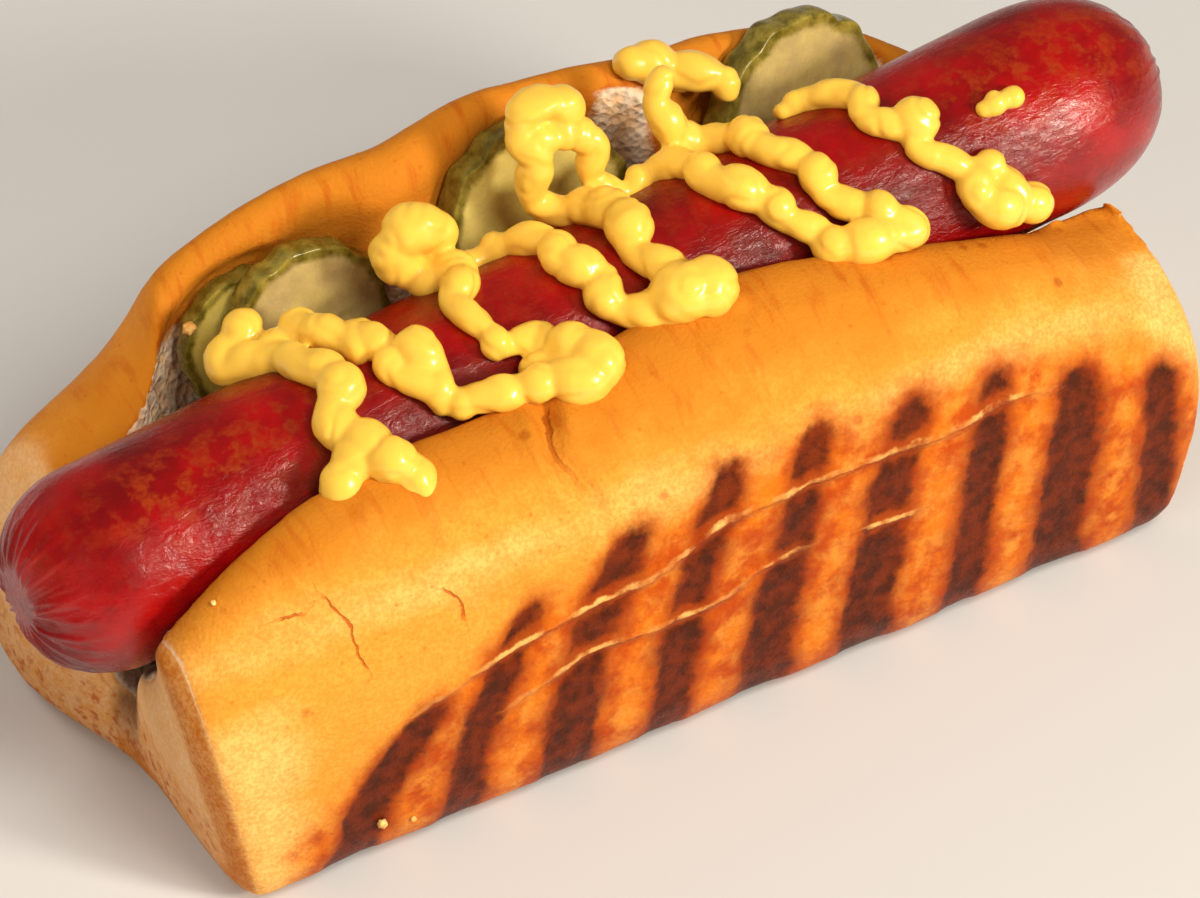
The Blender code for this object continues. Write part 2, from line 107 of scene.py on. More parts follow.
# Piped strokes. Each runs smoothly through its turns: (x, degrees round the sausage from its top to the near
# side, lift off its skin, fullness of the thread)
MUSTARD = {
    "mustard_1": (
        ((-45, -45, 4, 1.2), (-49, -45, 1, 1.2), (-45, -30, 0, 1.1), (-42, -3, 0, 1.2), (-41, 16, 0, 1.35),
         (-44, 32, 0, 1.3), (-42, 44, 1, 1.4), (-47, 56, 2, 1.3)),
        ((-42, 44, 1, 1.4), (-41, 52, 4, 1.4), (-38, 60, 4, 1.3), (-39, 67, 6, 1.1)),
        ((-44, -35, 0, 1.1), (-39, -35, 1, 1.2), (-37, -4, 0, 1.0), (-34, -9, 0, 1.2), (-34, 12, 0, 0.95),
         (-31, 34, 0, 0.95), (-29, 46, 0, 0.95), (-24, 50, 2, 1.1), (-17, 54, 4, 1.2), (-13, 58, 5, 1.6),
         (-11, 50, 4, 1.4), (-14, 44, 2, 1.2), (-18, 48, 1, 1.0)),
        ((-30, 15, 0, 1.35), (-30, 32, 0, 1.0), (-29, 46, 0, 0.95)),
        ((-19, -32, 4, 1.0), (-20, -29, 6, 1.4), (-24, -29, 6, 1.5), (-25, -34, 3, 1.4), (-22, -33, 0, 1.2),
         (-19, -23, 0, 1.2), (-21, -4, 0, 1.0), (-22, 16, 0, 0.95), (-20, 31, 0, 0.95), (-15, 35, 0, 0.9)),
    ),
    "mustard_2": (
        ((-16, -36, 0, 0.7), (-10, -32, 0, 1.0), (-8, -15, 0, 1.0), (-7, 7, 0, 1.3), (-5, 22, 0, 1.05),
         (-5, 34, 0, 1.2), (-2, 46, 1, 1.1), (3, 46, 3, 2.0), (6, 48, 3, 2.0)),
        ((4, 44, 2, 1.4), (2, 20, 0, 1.05), (2, 4, 0, 1.4), (1, -20, 0, 1.2), (-3, -33, 1, 1.0),
         (-5, -27, 8, 1.1), (-4, -25, 15, 1.2), (0, -25, 14, 1.3), (3, -28, 7, 1.0), (5, -32, 0, 0.8),
         (9, -32, 0, 0.85),
         (13, -31, 0, 1.0), (15, -6, 0, 1.1), (18, 18, 0, 1.3), (22, 38, 0, 1.0), (25, 57, 1, 1.2),
         (30, 60, 3, 1.4), (35, 63, 3, 1.1), (32, 50, 2, 1.1), (29, 42, 0, 1.0), (27, 22, 0, 1.1),
         (25, 4, 0, 1.0), (24, -6, 0, 1.3), (22, -24, 0, 1.0), (18, -34, 1, 1.1), (15, -33, 3, 1.2),
         (15, -29, 7, 1.0), (15, -30, 11, 0.8)),
        ((-4, -26, 11, 1.1), (1, -26, 10, 1.1)),
    ),
    "mustard_3": (
        ((30, -34, 0, 0.7), (35, -28, 0, 0.9), (38, -5, 0, 1.0), (39, 17, 0, 1.0), (43, 22, 0, 1.3),
         (42, 35, 0, 0.9), (45, 50, 0, 1.0), (48, 72, 1, 1.4), (52, 78, 1, 1.3), (56, 85, 1, 1.1)),
        ((47, 55, 0, 1.1), (51, 60, 0, 1.0), (51, 73, 1, 1.2)),
    ),
    "mustard_4": (((51, 29, 0, 0.7), (57, 33, 0, 0.8)),),
    "mustard_5": (((16, -52, 13, 1.2), (22, -53, 10, 1.4), (28, -51, 5, 0.8)),),
}

# Folds in the near half's crust: route, depth and half width. Folds deeper than 1 mm also get a painted shade
# line.
FOLDS = (
    (((-19, 62), (-21.5, 52), (-20, 45), (-19, 39), (-19, 34)), 1.1, 1.1),
    (((9, 62), (14, 47)), 0.5, 0.8),
    (((3, 55), (6, 38)), 0.45, 0.7),
    (((-9, 50), (-5, 38)), 0.4, 0.7),
)
# Hairline cracks in the near half's crust, shown as painted shade lines and bump
CRACKS = (
    ((-55, 43), (-53, 35), (-53, 29), (-52, 24)),
    ((-40.5, 35), (-39, 32), (-38.5, 27)),
    ((-61, 41), (-58, 41)),
)
# Raised wrinkles that the grill bars left pale
WRINKLES = (
    ((-46, 8), (-33, 15), (-19, 18), (-12, 19), (-3, 25), (7, 26.5), (19, 26.5), (31, 25.5), (41, 27),
     (47, 25)),
    ((-33, -1), (-26, 3), (-21, 5.5), (-11, 4), (-2, 5), (3, 9), (10, 9.5)),
    ((19, 8), (26, 7)),
)

# Crumbs: the piece each lies on, a place beside it in millimetres and the crumb's size
CRUMBS = (
    ("pickle_slice_2", (-50, 17, 50.6), 1.7),
    ("bun_bread", (-51, -28, 8), 1.2),
    ("bun_bread", (-47, -28, 7), 0.7),
    ("bun_bread", (-20, 25, 57), 0.7),
    ("sausage_casing", (47, -12, 52), 0.9),
    ("sausage_casing", (-52, -13, 45), 0.6),
    ("bun_bread", (-66, -20, 42), 0.7),
)


def tint(red, green, blue):
    """A colour given as seen on a screen, 0 to 255, as the linear values that shaders take."""
    linear = []
    for value in (red, green, blue):
        share = value / 255.0
        linear.append(share / 12.92 if share <= 0.04045 else ((share + 0.055) / 1.055) ** 2.4)
    return tuple(linear)


# ---------------------------------------------------------------- settings


def colour_setting(name, description, default):
    return bpy.props.FloatVectorProperty(
        name=name, description=description, subtype="COLOR", size=3, min=0.0, max=1.0, default=default
    )


def size_setting(name, description, default, **limits):
    """A size in millimetres."""
    return bpy.props.FloatProperty(
        name=name, description=description + " in millimetres", default=default, **limits
    )


class HotDogBunSettings(bpy.types.PropertyGroup):
    """Sizes and colours of the bun."""

    grain: size_setting("Grain", "Size of the bun's mesh facets", 0.75, min=0.5, max=4.0)
    bars: bpy.props.IntProperty(
        name="Bars", description="Number of grill bars on each flank", default=9, min=2
    )
    first_bar: size_setting("First bar", "Place of the first grill bar's foot along the bun", -55.0)
    bar_pitch: size_setting("Bar pitch", "Distance between grill bars", 14.85)
    bar_width: size_setting("Bar width", "Width of a grill bar", 7.0)
    bar_lean: size_setting("Bar lean", "How far a bar's top stands to the right of its foot", 11.5)
    deep: colour_setting("Deep crust", "Crust by the lips", tint(200, 122, 32))
    crust: colour_setting("Crust", "Crust on the shoulders", tint(234, 157, 58))
    cream: colour_setting("Pale crust", "Soft crust that hardly browned", tint(250, 192, 106))
    toast: colour_setting("Toast", "Buttered and toasted side", tint(224, 120, 18))
    # The dark toast is also laid along the cracks as painted shade.
    toast_dark: colour_setting("Dark toast", "Browner patches of the toasted side", tint(176, 66, 6))
    # The bar colour is also laid as painted shade over the seam and the gap under the sausage's left end.
    bar: colour_setting("Bar", "Char of the grill bars", tint(66, 20, 6))
    # The bar edge is also laid along the deepest fold as painted shade.
    bar_edge: colour_setting("Bar edge", "Red-brown edge of the grill bars", tint(140, 46, 6))
    crumb: colour_setting("Crumb", "Bread inside the crust", tint(232, 208, 178))
    # The end colour is also mixed into the torn crumb's pores as painted shade.
    side: colour_setting("End", "Soft sides where rolls were baked together", tint(236, 182, 118))


class HotDogSausageSettings(bpy.types.PropertyGroup):
    """Sizes and colours of the sausage."""

    rings: bpy.props.IntProperty(name="Rings", description="Rings of points along the sausage", default=400)
    sides: bpy.props.IntProperty(name="Sides", description="Points in each ring", default=190)
    left_cap: size_setting("Left cap", "Length of the left end's rounding", LEFT_CAP)
    right_cap: size_setting("Right cap", "Length of the right end's rounding", RIGHT_CAP)
    red: colour_setting("Casing", "Deep red casing", tint(160, 4, 6))
    dark: colour_setting("Dark casing", "Casing in its darker patches", tint(104, 2, 5))
    brown: colour_setting("Browned", "Orange-brown mottling", tint(148, 48, 10))
    grilled: colour_setting("Grilled", "Purple-brown wrinkled skin", tint(84, 22, 18))


class HotDogPickleSettings(bpy.types.PropertyGroup):
    """Colours of the slices of pickled cucumber."""

    flesh: colour_setting("Flesh", "Wet flesh", tint(216, 196, 108))
    pale: colour_setting("Pale flesh", "Greyer flesh", tint(174, 150, 98))
    core: colour_setting("Core", "Yellow-green pulp round the seeds", tint(204, 180, 80))
    rind: colour_setting("Rind", "Dark olive rind", tint(88, 76, 14))


class HotDogMustardSettings(bpy.types.PropertyGroup):
    """Size and colour of the mustard."""

    thread: size_setting("Thread", "Radius of the piped thread", 1.95)
    pitch: size_setting("Pitch", "Distance between the thread's droplets", 4.7, min=1.0)
    crease: size_setting("Crease", "Depth of the creases where droplets meet", 0.2)
    voxel: size_setting("Grain", "Size of the mustard's mesh facets", 0.3, min=0.2, max=1.0)
    yellow: colour_setting("Mustard", "Smooth yellow mustard", tint(247, 198, 76))


class HotDogStageSettings(bpy.types.PropertyGroup):
    """Camera and floor."""

    azimuth: bpy.props.FloatProperty(
        name="Azimuth", description="Camera's turn to the left of straight on, in degrees", default=30.5
    )
    elevation: bpy.props.FloatProperty(
        name="Elevation", description="Camera's height above the horizon, in degrees", default=42.0
    )
    distance: bpy.props.FloatProperty(
        name="Distance", description="Camera's distance from the middle", default=0.8, unit="LENGTH"
    )
    lens: bpy.props.FloatProperty(name="Lens", description="Focal length in millimetres", default=188.9)
    floor: colour_setting("Floor", "Plain pale floor", (0.62, 0.61, 0.6))


# ---------------------------------------------------------------- curves and fields


def smooth_step(low, high, value):
    """0 at low, 1 at high and a smooth change between them."""
    share = np.clip((value - low) / (high - low), 0.0, 1.0)
    return share * share * (3.0 - 2.0 * share)


def bell(value, centre, width):
    """A smooth bump of height 1 at centre."""
    return np.exp(-(((value - centre) / width) ** 2))


def ridge(x, middle, top, left, right):
    """A ridge that falls from its top to both ends; an end is (x, height, how late it falls)."""
    heights = np.empty_like(x)
    for side, (end, height, lateness) in ((x < middle, left), (x >= middle, right)):
        share = np.clip((x[side] - middle) / (end - middle), 0.0, 1.0)
        heights[side] = top - (top - height) * share**lateness
    return heights


def between(before, start, stop, after, share):
    """A smooth curve from start to stop that also heeds the points before and after them."""
    return 0.5 * (
        2 * start
        + (stop - before) * share
        + (2 * before - 5 * start + 4 * stop - after) * share**2
        + (3 * start - before - 3 * stop + after) * share**3
    )


def smooth_route(points, steps=8):
    """A route's points with smooth stretches between them."""
    points = [np.array(point, float) for point in points]
    path = [points[0], *points, points[-1]]
    route = [points[0]]
    for before, start, stop, after in zip(path, path[1:], path[2:], path[3:]):
        for step in range(1, steps + 1):
            route.append(between(before, start, stop, after, step / steps))
    return np.array(route)


def route_distance(places, points, steps=8):
    """Each place's distance from a route, below 0 on its left, and its share of the way along, 0 to 1."""
    route = smooth_route(points, steps)
    nearest = np.full(len(places), 1e9)
    along = np.zeros(len(places))
    side = np.ones(len(places))
    for index in range(len(route) - 1):
        start, step = route[index], route[index + 1] - route[index]
        offset = places - start
        share = np.clip((offset @ step) / (step @ step), 0.0, 1.0)
        distance = np.linalg.norm(offset - share[:, None] * step, axis=1)
        closer = distance < nearest
        nearest[closer] = distance[closer]
        along[closer] = (index + share[closer]) / (len(route) - 1)
        turn = step[1] * offset[:, 0] - step[0] * offset[:, 1]
        side[closer] = np.where(turn[closer] < 0.0, -1.0, 1.0)
    return nearest * side, along


def unrolled(route):
    """A route on the bun with its degrees turned into millimetres."""
    return [(x, degrees * MM_PER_DEGREE) for x, degrees in route]


def nearest_line(places, routes, reach):
    """Signed distance from the nearest of several routes, and a mask that fades at reach and their ends."""
    nearest = np.full(len(places), 99.0)
    mask = np.zeros(len(places))
    for route in routes:
        distance, along = route_distance(places, unrolled(route))
        closer = np.abs(distance) < np.abs(nearest)
        nearest[closer] = distance[closer]
        taper = smooth_step(0.0, 0.1, along) * smooth_step(1.0, 0.88, along)
        mask = np.maximum(mask, (0.25 + 0.75 * taper) * smooth_step(reach, 0.4 * reach, np.abs(distance)))
    return nearest, mask


def noise_at(points, size, seed=0.0):
    """Smooth noise, about -1 to 1, whose lumps are roughly size across."""
    shift = Vector((seed * 7.3, seed * 3.1, seed * 5.7))
    return np.array([noise.noise(Vector(point) / size + shift) for point in points])


def pores_at(points, size, seed=0.0):
    """Distance from the nearest pore's centre, as a share of size."""
    shift = Vector((seed * 2.9, seed * 8.1, seed * 4.3))
    return np.array([noise.voronoi(Vector(point) / size + shift)[0][0] for point in points])


# ---------------------------------------------------------------- meshes


def piece_from(name, vertices, faces):
    """A smooth-shaded object from points in millimetres."""
    mesh = bpy.data.meshes.new(name)
    mesh.from_pydata([tuple(vertex) for vertex in vertices * MM], [], faces)
    mesh.validate()
    mesh.shade_smooth()
    piece = bpy.data.objects.new(name, mesh)
    bpy.context.scene.collection.objects.link(piece)
    return piece


def ring_faces(rings, sides):
    """Faces that join rings of points, ring after ring."""
    faces = []
    for ring in range(rings - 1):
        for side in range(sides):
            first = ring * sides + side
            second = ring * sides + (side + 1) % sides
            faces.append((first, first + sides, second + sides, second))
    return faces


def points_of(mesh):
    """The mesh's points in millimetres."""
    flat = np.empty(len(mesh.vertices) * 3)
    mesh.vertices.foreach_get("co", flat)
    return flat.reshape(-1, 3) / MM


def normals_of(mesh):
    flat = np.empty(len(mesh.vertices) * 3)
    mesh.vertex_normals.foreach_get("vector", flat)
    return flat.reshape(-1, 3)


def set_points(mesh, points):
    mesh.vertices.foreach_set("co", (points * MM).ravel())
    mesh.update()


def paint(mesh, name, values):
    """Stores one number for each point, for the materials to read."""
    layer = mesh.attributes.new(name, "FLOAT", "POINT")
    layer.data.foreach_set("value", np.asarray(values, np.float32))


def apply_modifiers(piece):
    """Makes the evaluated mesh the object's own."""
    bpy.context.view_layer.update()
    graph = bpy.context.evaluated_depsgraph_get()
    mesh = bpy.data.meshes.new_from_object(piece.evaluated_get(graph))
    piece.modifiers.clear()
    old = piece.data
    piece.data = mesh
    bpy.data.meshes.remove(old)
    mesh.name = piece.name
    mesh.shade_smooth()


def run_together(piece, voxel, iterations):
    """One closed skin over everything in the mesh, smoothed."""
    remesh = piece.modifiers.new("skin", "REMESH")
    remesh.mode = "VOXEL"
    remesh.voxel_size = voxel * MM
    settle = piece.modifiers.new("settle", "SMOOTH")
    settle.iterations = iterations
    settle.factor = 0.5
    apply_modifiers(piece)


def tree_of(thing):
    mesh = bmesh.new()
    mesh.from_mesh(thing.data)
    tree = BVHTree.FromBMesh(mesh)
    mesh.free()
    return tree


def dress(piece, node, material):
    """Gives a piece its material, fixes it to the root body and hides the solid it stands for."""
    piece.data.materials.clear()
    piece.data.materials.append(material)
    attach(piece, "root")
    if node:
        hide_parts(node)


# ---------------------------------------------------------------- shader helpers


class Graph:
    """Short calls to add and join shader nodes in a tree."""

    def __init__(self, tree):
        self.tree = tree

    def node(self, kind, inputs=(), **settings):
        made = self.tree.nodes.new(kind)
        for name, value in settings.items():
            setattr(made, name, value)
        for key, value in dict(inputs).items():
            self.feed(made.inputs[key], value)
        return made

    def feed(self, socket, value):
        if isinstance(value, bpy.types.NodeSocket):
            self.tree.links.new(value, socket)
        elif socket.type == "RGBA":
            socket.default_value = (*value[:3], 1.0)
        else:
            socket.default_value = value

    def place(self):
        return self.node("ShaderNodeTexCoord").outputs["Object"]

    def math(self, operation, first, second=0.0, clamp=False):
        made = self.node("ShaderNodeMath", operation=operation, use_clamp=clamp)
        self.feed(made.inputs[0], first)
        self.feed(made.inputs[1], second)
        return made.outputs[0]

    def mix(self, share, first, second, blend="MIX"):
        made = self.node("ShaderNodeMix", data_type="RGBA", blend_type=blend)
        self.feed(made.inputs["Factor"], share)
        self.feed(made.inputs[6], first)
        self.feed(made.inputs[7], second)
        return made.outputs[2]

    def laid(self, under, over, mask, strength):
        """A colour laid over another where a mask says, at a strength."""
        return self.mix(self.times(mask, strength), under, over)

    def spread(self, value, low, high, to_low=0.0, to_high=1.0):
        """Maps low..high smoothly onto to_low..to_high."""
        inputs = {"Value": value, "From Min": low, "From Max": high, "To Min": to_low, "To Max": to_high}
        return self.node("ShaderNodeMapRange", inputs, interpolation_type="SMOOTHSTEP").outputs["Result"]

    def noise(self, size, detail=4.0, roughness=0.55, stretch=(1, 1, 1), warp=0.0):
        """Noise, 0 to 1, whose lumps are about size millimetres across."""
        scaled = self.node("ShaderNodeMapping", {"Vector": self.place(), "Scale": stretch}).outputs["Vector"]
        inputs = {
            "Vector": scaled,
            "Scale": 1 / (size * MM),
            "Detail": detail,
            "Roughness": roughness,
            "Distortion": warp,
        }
        return self.node("ShaderNodeTexNoise", inputs).outputs["Fac"]

    def cells(self, size, feature="F1"):
        inputs = {"Vector": self.place(), "Scale": 1 / (size * MM)}
        return self.node("ShaderNodeTexVoronoi", inputs, feature=feature).outputs["Distance"]

    def lumps(self, scale, detail):
        """Noise, 0 to 1, at a scale that may come from a socket."""
        inputs = {"Vector": self.place(), "Scale": scale, "Detail": detail, "Roughness": 0.6}
        return self.node("ShaderNodeTexNoise", inputs).outputs["Fac"]

    def painted(self, name):
        return self.node("ShaderNodeAttribute", attribute_name=name).outputs["Fac"]

    def group(self, name, inputs):
        made = self.node("ShaderNodeGroup", node_tree=bpy.data.node_groups[name])
        for key, value in inputs.items():
            self.feed(made.inputs[key], value)
        return made.outputs

    def mottle(self, size, contrast, shift=0.0):
        return self.group("Mottle", {"Size": size, "Contrast": contrast, "Shift": shift})["Mask"]

    def flecks(self, size, share):
        return self.group("Flecks", {"Size": size, "Share": share})["Mask"]

    def ragged(self, field, width, raggedness, size):
        inputs = {"Field": field, "Width": width, "Raggedness": raggedness, "Size": size}
        return self.group("Ragged edge", inputs)["Mask"]

    def line(self, name, width, wander):
        """A line painted on the mesh as a mask and a signed distance."""
        way, mask = self.painted(name + "_way"), self.painted(name)
        return self.group("Line", {"Way": way, "Mask": mask, "Width": width, "Wander": wander})["Line"]

    def times(self, first, second):
        return self.math("MULTIPLY", first, second)

    def bump(self, height, distance, strength=1.0, under=None):
        inputs = {"Height": height, "Distance": distance * MM, "Strength": strength}
        if under is not None:
            inputs["Normal"] = under
        return self.node("ShaderNodeBump", inputs).outputs["Normal"]


def new_group(name, inputs, outputs):
    """An empty shader node group with named number sockets, its graph and its input and output nodes."""
    tree = bpy.data.node_groups.new(name, "ShaderNodeTree")
    for label, default in inputs:
        socket = tree.interface.new_socket(label, in_out="INPUT", socket_type="NodeSocketFloat")
        socket.default_value = default
    for label in outputs:
        tree.interface.new_socket(label, in_out="OUTPUT", socket_type="NodeSocketFloat")
    graph = Graph(tree)
    return graph, tree.nodes.new("NodeGroupInput").outputs, tree.nodes.new("NodeGroupOutput").inputs


def make_ragged_edge():
    """A mask that turns on where a field passes zero, over a width, with a ragged edge."""
    graph, given, result = new_group(
        "Ragged edge", (("Field", 0.0), ("Width", 1.0), ("Raggedness", 1.0), ("Size", 2.0)), ("Mask",)
    )
    rough = graph.math("SUBTRACT", graph.lumps(graph.math("DIVIDE", 1 / MM, given["Size"]), 6.0), 0.5)
    torn = graph.math("ADD", given["Field"], graph.times(rough, given["Raggedness"]))
    half = graph.times(given["Width"], 0.5)
    mask = graph.spread(torn, graph.times(half, -1.0), half)
    graph.feed(result["Mask"], mask)


def make_mottle():
    """Patches, 0 to 1, of a size and contrast."""
    graph, given, result = new_group("Mottle", (("Size", 2.0), ("Contrast", 0.2), ("Shift", 0.0)), ("Mask",))
    value = graph.math("ADD", graph.lumps(graph.math("DIVIDE", 1 / MM, given["Size"]), 5.0), given["Shift"])
    low = graph.math("SUBTRACT", 0.5, given["Contrast"])
    high = graph.math("ADD", 0.5, given["Contrast"])
    graph.feed(result["Mask"], graph.spread(value, low, high))


def make_flecks():
    """Small scattered flecks, 0 to 1; a larger share leaves more of them."""
    graph, given, result = new_group("Flecks", (("Size", 1.0), ("Share", 0.1)), ("Mask",))
    scale = graph.math("DIVIDE", 1 / MM, given["Size"])
    cell = graph.node("ShaderNodeTexVoronoi", {"Vector": graph.place(), "Scale": scale})
    chosen = graph.math("LESS_THAN", cell.outputs["Color"], given["Share"])
    dot = graph.spread(cell.outputs["Distance"], 0.32, 0.12)
    graph.feed(result["Mask"], graph.times(chosen, dot))


def make_line():
    """A thin wandering line, 0 to 1, where a signed distance passes zero inside a mask."""
    sockets = (("Way", 1.0), ("Mask", 0.0), ("Width", 0.5), ("Wander", 0.5))
    graph, given, result = new_group("Line", sockets, ("Line",))
    rough = graph.math("SUBTRACT", graph.lumps(0.4 / MM, 4.0), 0.5)
    way = graph.math("ADD", given["Way"], graph.times(rough, given["Wander"]))
    away = graph.math("ABSOLUTE", way)
    line = graph.spread(away, given["Width"], graph.times(given["Width"], 0.3))
    graph.feed(result["Line"], graph.times(line, given["Mask"]))


def make_groups():
    make_ragged_edge()
    make_line()
    make_mottle()
    make_flecks()


def new_material(name):
    material = bpy.data.materials.new(name)
    material.use_nodes = True
    return material, Graph(material.node_tree), material.node_tree.nodes["Principled BSDF"]


# ---------------------------------------------------------------- bun


def bun_places(points):
    """Each point's degrees round the bun from level on its near side, and its distance from that axis."""
    across, up = points[:, 1], points[:, 2] - BUN_AXIS_HEIGHT
    angle = np.degrees(np.arctan2(up, -across))
    return np.where(angle < -95.0, angle + 360.0, angle), np.hypot(across, up)


def toast_top(x):
    """Height up to which the near side is buttered and toasted."""
    return ridge(x, 20.0, 42.0, (-66.0, 8.0, 2.3), (70.0, 27.0, 3.0))


def bar_top(x):
    """Degrees round the bun at which the grill bars end, just short of the toasted patch's top."""
    return ridge(x, 10.0, 38.0, (-60.0, -11.0, 2.4), (72.0, 13.0, 2.1))


def rim_depth(angle, reach, chosen):
    """How far inside the rim of the chosen points each point lies, in millimetres."""
    step = 6.0  # degrees
    sector = np.floor((angle + 180.0) / step).astype(int)
    rims = np.zeros(sector.max() + 1)
    np.maximum.at(rims, sector[chosen], reach[chosen])
    rims[rims == 0.0] = rims[rims > 0.0].mean()
    middles = (np.arange(len(rims)) + 0.5) * step - 180.0
    return np.interp(angle, middles, rims) - reach


def bar_field(settings, points, angle):
    """Millimetres inside the nearest grill bar's edge, negative outside."""
    x = points[:, 0]
    field = np.full(len(x), OUTSIDE)
    drift, swelling = noise_at(points, 11.0, 21.0), noise_at(points, 5.0, 22.0)
    for index in range(settings.bars):
        foot = settings.first_bar + settings.bar_pitch * index
        share = index / (settings.bars - 1)
        lean = settings.bar_lean * (1.0 - share**2)
        top = bar_top(np.array([foot + 0.7 * lean]))[0] + 0.8 * math.sin(2.3 * index)
        rise = np.clip((angle + BAR_FOOT) / (top + BAR_FOOT), 0.0, 1.0)
        middle = foot + lean * rise**2.0 + 1.1 * drift
        half = settings.bar_width * (0.5 + 0.08 * math.sin(3.7 * index + 1.0)) * (1.0 - 0.22 * rise)
        half = half + 0.9 * swelling
        past = np.maximum(0.0, MM_PER_DEGREE * (angle - top) + half)
        field = np.maximum(field, half - np.hypot(x - middle, past))
    return field


class BunRegions:
    """Where each point of the bun lies, as shares from 0 to 1."""

    def __init__(self, mesh):
        self.points, self.normals = points_of(mesh), normals_of(mesh)
        self.x, self.y, self.z = self.points.T
        self.angle, self.reach = bun_places(self.points)
        self.level = np.stack([self.x, self.angle * MM_PER_DEGREE], axis=1)
        self.near = smooth_step(92.0, 84.0, self.angle)
        facing = self.normals[:, 0]
        self.left_end = smooth_step(-0.55, -0.85, facing) * smooth_step(-60.0, -66.0, self.x)
        right_end = smooth_step(0.55, 0.85, facing) * smooth_step(60.0, 66.0, self.x)
        self.end = np.maximum(self.left_end, right_end)
        self.inner = self.inside()
        self.outer = 1.0 - self.inner
        self.crust = self.outer * (1.0 - self.end)

    def inside(self):
        """The pocket's walls, and the back half's lip only where it is torn open."""
        up = self.z - BUN_AXIS_HEIGHT
        outward = (self.normals[:, 1] * self.y + self.normals[:, 2] * up) / np.maximum(self.reach, 1e-6)
        inner = smooth_step(0.15, -0.25, outward) * (1.0 - self.end)
        gap = bell(self.x, 14.5, 4.2) * smooth_step(62.0, 60.0, self.z)
        torn_open = np.maximum(gap, bell(self.x, -56.0, 3.0))
        return inner * np.maximum(np.maximum(self.near, torn_open), smooth_step(50.0, 42.0, self.z))

    def drawn(self, routes, width=3.0):
        """Signed distance and mask of lines in the near half's crust."""
        way, mask = nearest_line(self.level, routes, width)
        return way, mask * self.near * self.crust


def grilled(bun, settings):
    """Millimetres inside the toasted patch and inside the nearest grill bar."""
    toast = np.minimum(toast_top(bun.x) - bun.z, bun.x - TOAST_LEFT)
    flank = np.where(bun.angle > 90.0, 180.0 - bun.angle, bun.angle)
    bars = bar_field(settings, bun.points, flank)
    on_crust = bun.crust > 0.5
    return np.where(on_crust, toast, OUTSIDE), np.where(on_crust, bars, OUTSIDE)


def folded(bun):
    """How far the folds push the crust out and in."""
    lift = np.zeros(len(bun.x))
    for route, depth, half_width in FOLDS:
        distance, along = route_distance(bun.level, unrolled(route))
        fade = bun.near * bun.crust * (1.0 - 0.75 * along)
        pushed_up = 0.45 * bell(np.abs(distance), 2.2 * half_width, half_width)
        lift += fade * depth * (pushed_up - bell(distance, 0.0, half_width))
    return lift


def bread_pores(points):
    """Large and small pores of torn bread, about 0 to 1.5."""
    large = smooth_step(0.75, 0.2, pores_at(points, 1.9, 3.0))
    return large + 0.5 * smooth_step(0.7, 0.2, pores_at(points, 0.9, 4.0))


def shape_bun(mesh, settings):
    """Folds, wrinkles, cracks, pores and unevenness, with a painted layer for each finish."""
    bun = BunRegions(mesh)
    points = bun.points
    toast, bars = grilled(bun, settings)
    pores = bread_pores(points)
    fold_way, fold = bun.drawn([route for route, depth, half_width in FOLDS if depth > 1.0])
    fold *= smooth_step(36.0, 62.0, bun.angle)
    crack_way, crack = bun.drawn(CRACKS)
    wrinkle_way, wrinkle = bun.drawn(WRINKLES)

    lift = bun.crust * (0.42 * noise_at(points, 24.0) + 0.20 * noise_at(points, 9.0, 1.0))
    lift += bun.outer * 0.05 * noise_at(points, 2.6, 2.0)
    lift += folded(bun)
    wavy = wrinkle_way + 0.35 * noise_at(points, 3.0, 8.0)
    lift += wrinkle * (0.42 * bell(wavy, 0.0, 0.8) - 0.34 * bell(wavy, 1.7, 0.9))
    ragged_lip = bun.near * smooth_step(58.0, 70.0, bun.angle) * smooth_step(-30.0, -45.0, bun.x)
    lift += 0.85 * ragged_lip * noise_at(points, 2.8, 9.0)
    lift -= 0.22 * smooth_step(-0.6, 1.2, bars)
    lift -= 0.45 * bun.inner * smooth_step(24.0, 34.0, bun.z) * pores

    lowest, highest = points.min(0), points.max(0)
    lowest[2] = 0.0
    set_points(mesh, np.clip(points + bun.normals * lift[:, None], lowest, highest))

    paint(mesh, "toast", toast)
    paint(mesh, "bar", bars)
    paint(mesh, "pore", pores)
    lines = (("fold", fold_way, fold), ("crack", crack_way, crack), ("wrinkle", wrinkle_way, wrinkle))
    for name, way, mask in lines:
        paint(mesh, name, mask)
        paint(mesh, name + "_way", np.clip(way, -4.0, 4.0))
    paint_regions(mesh, bun)


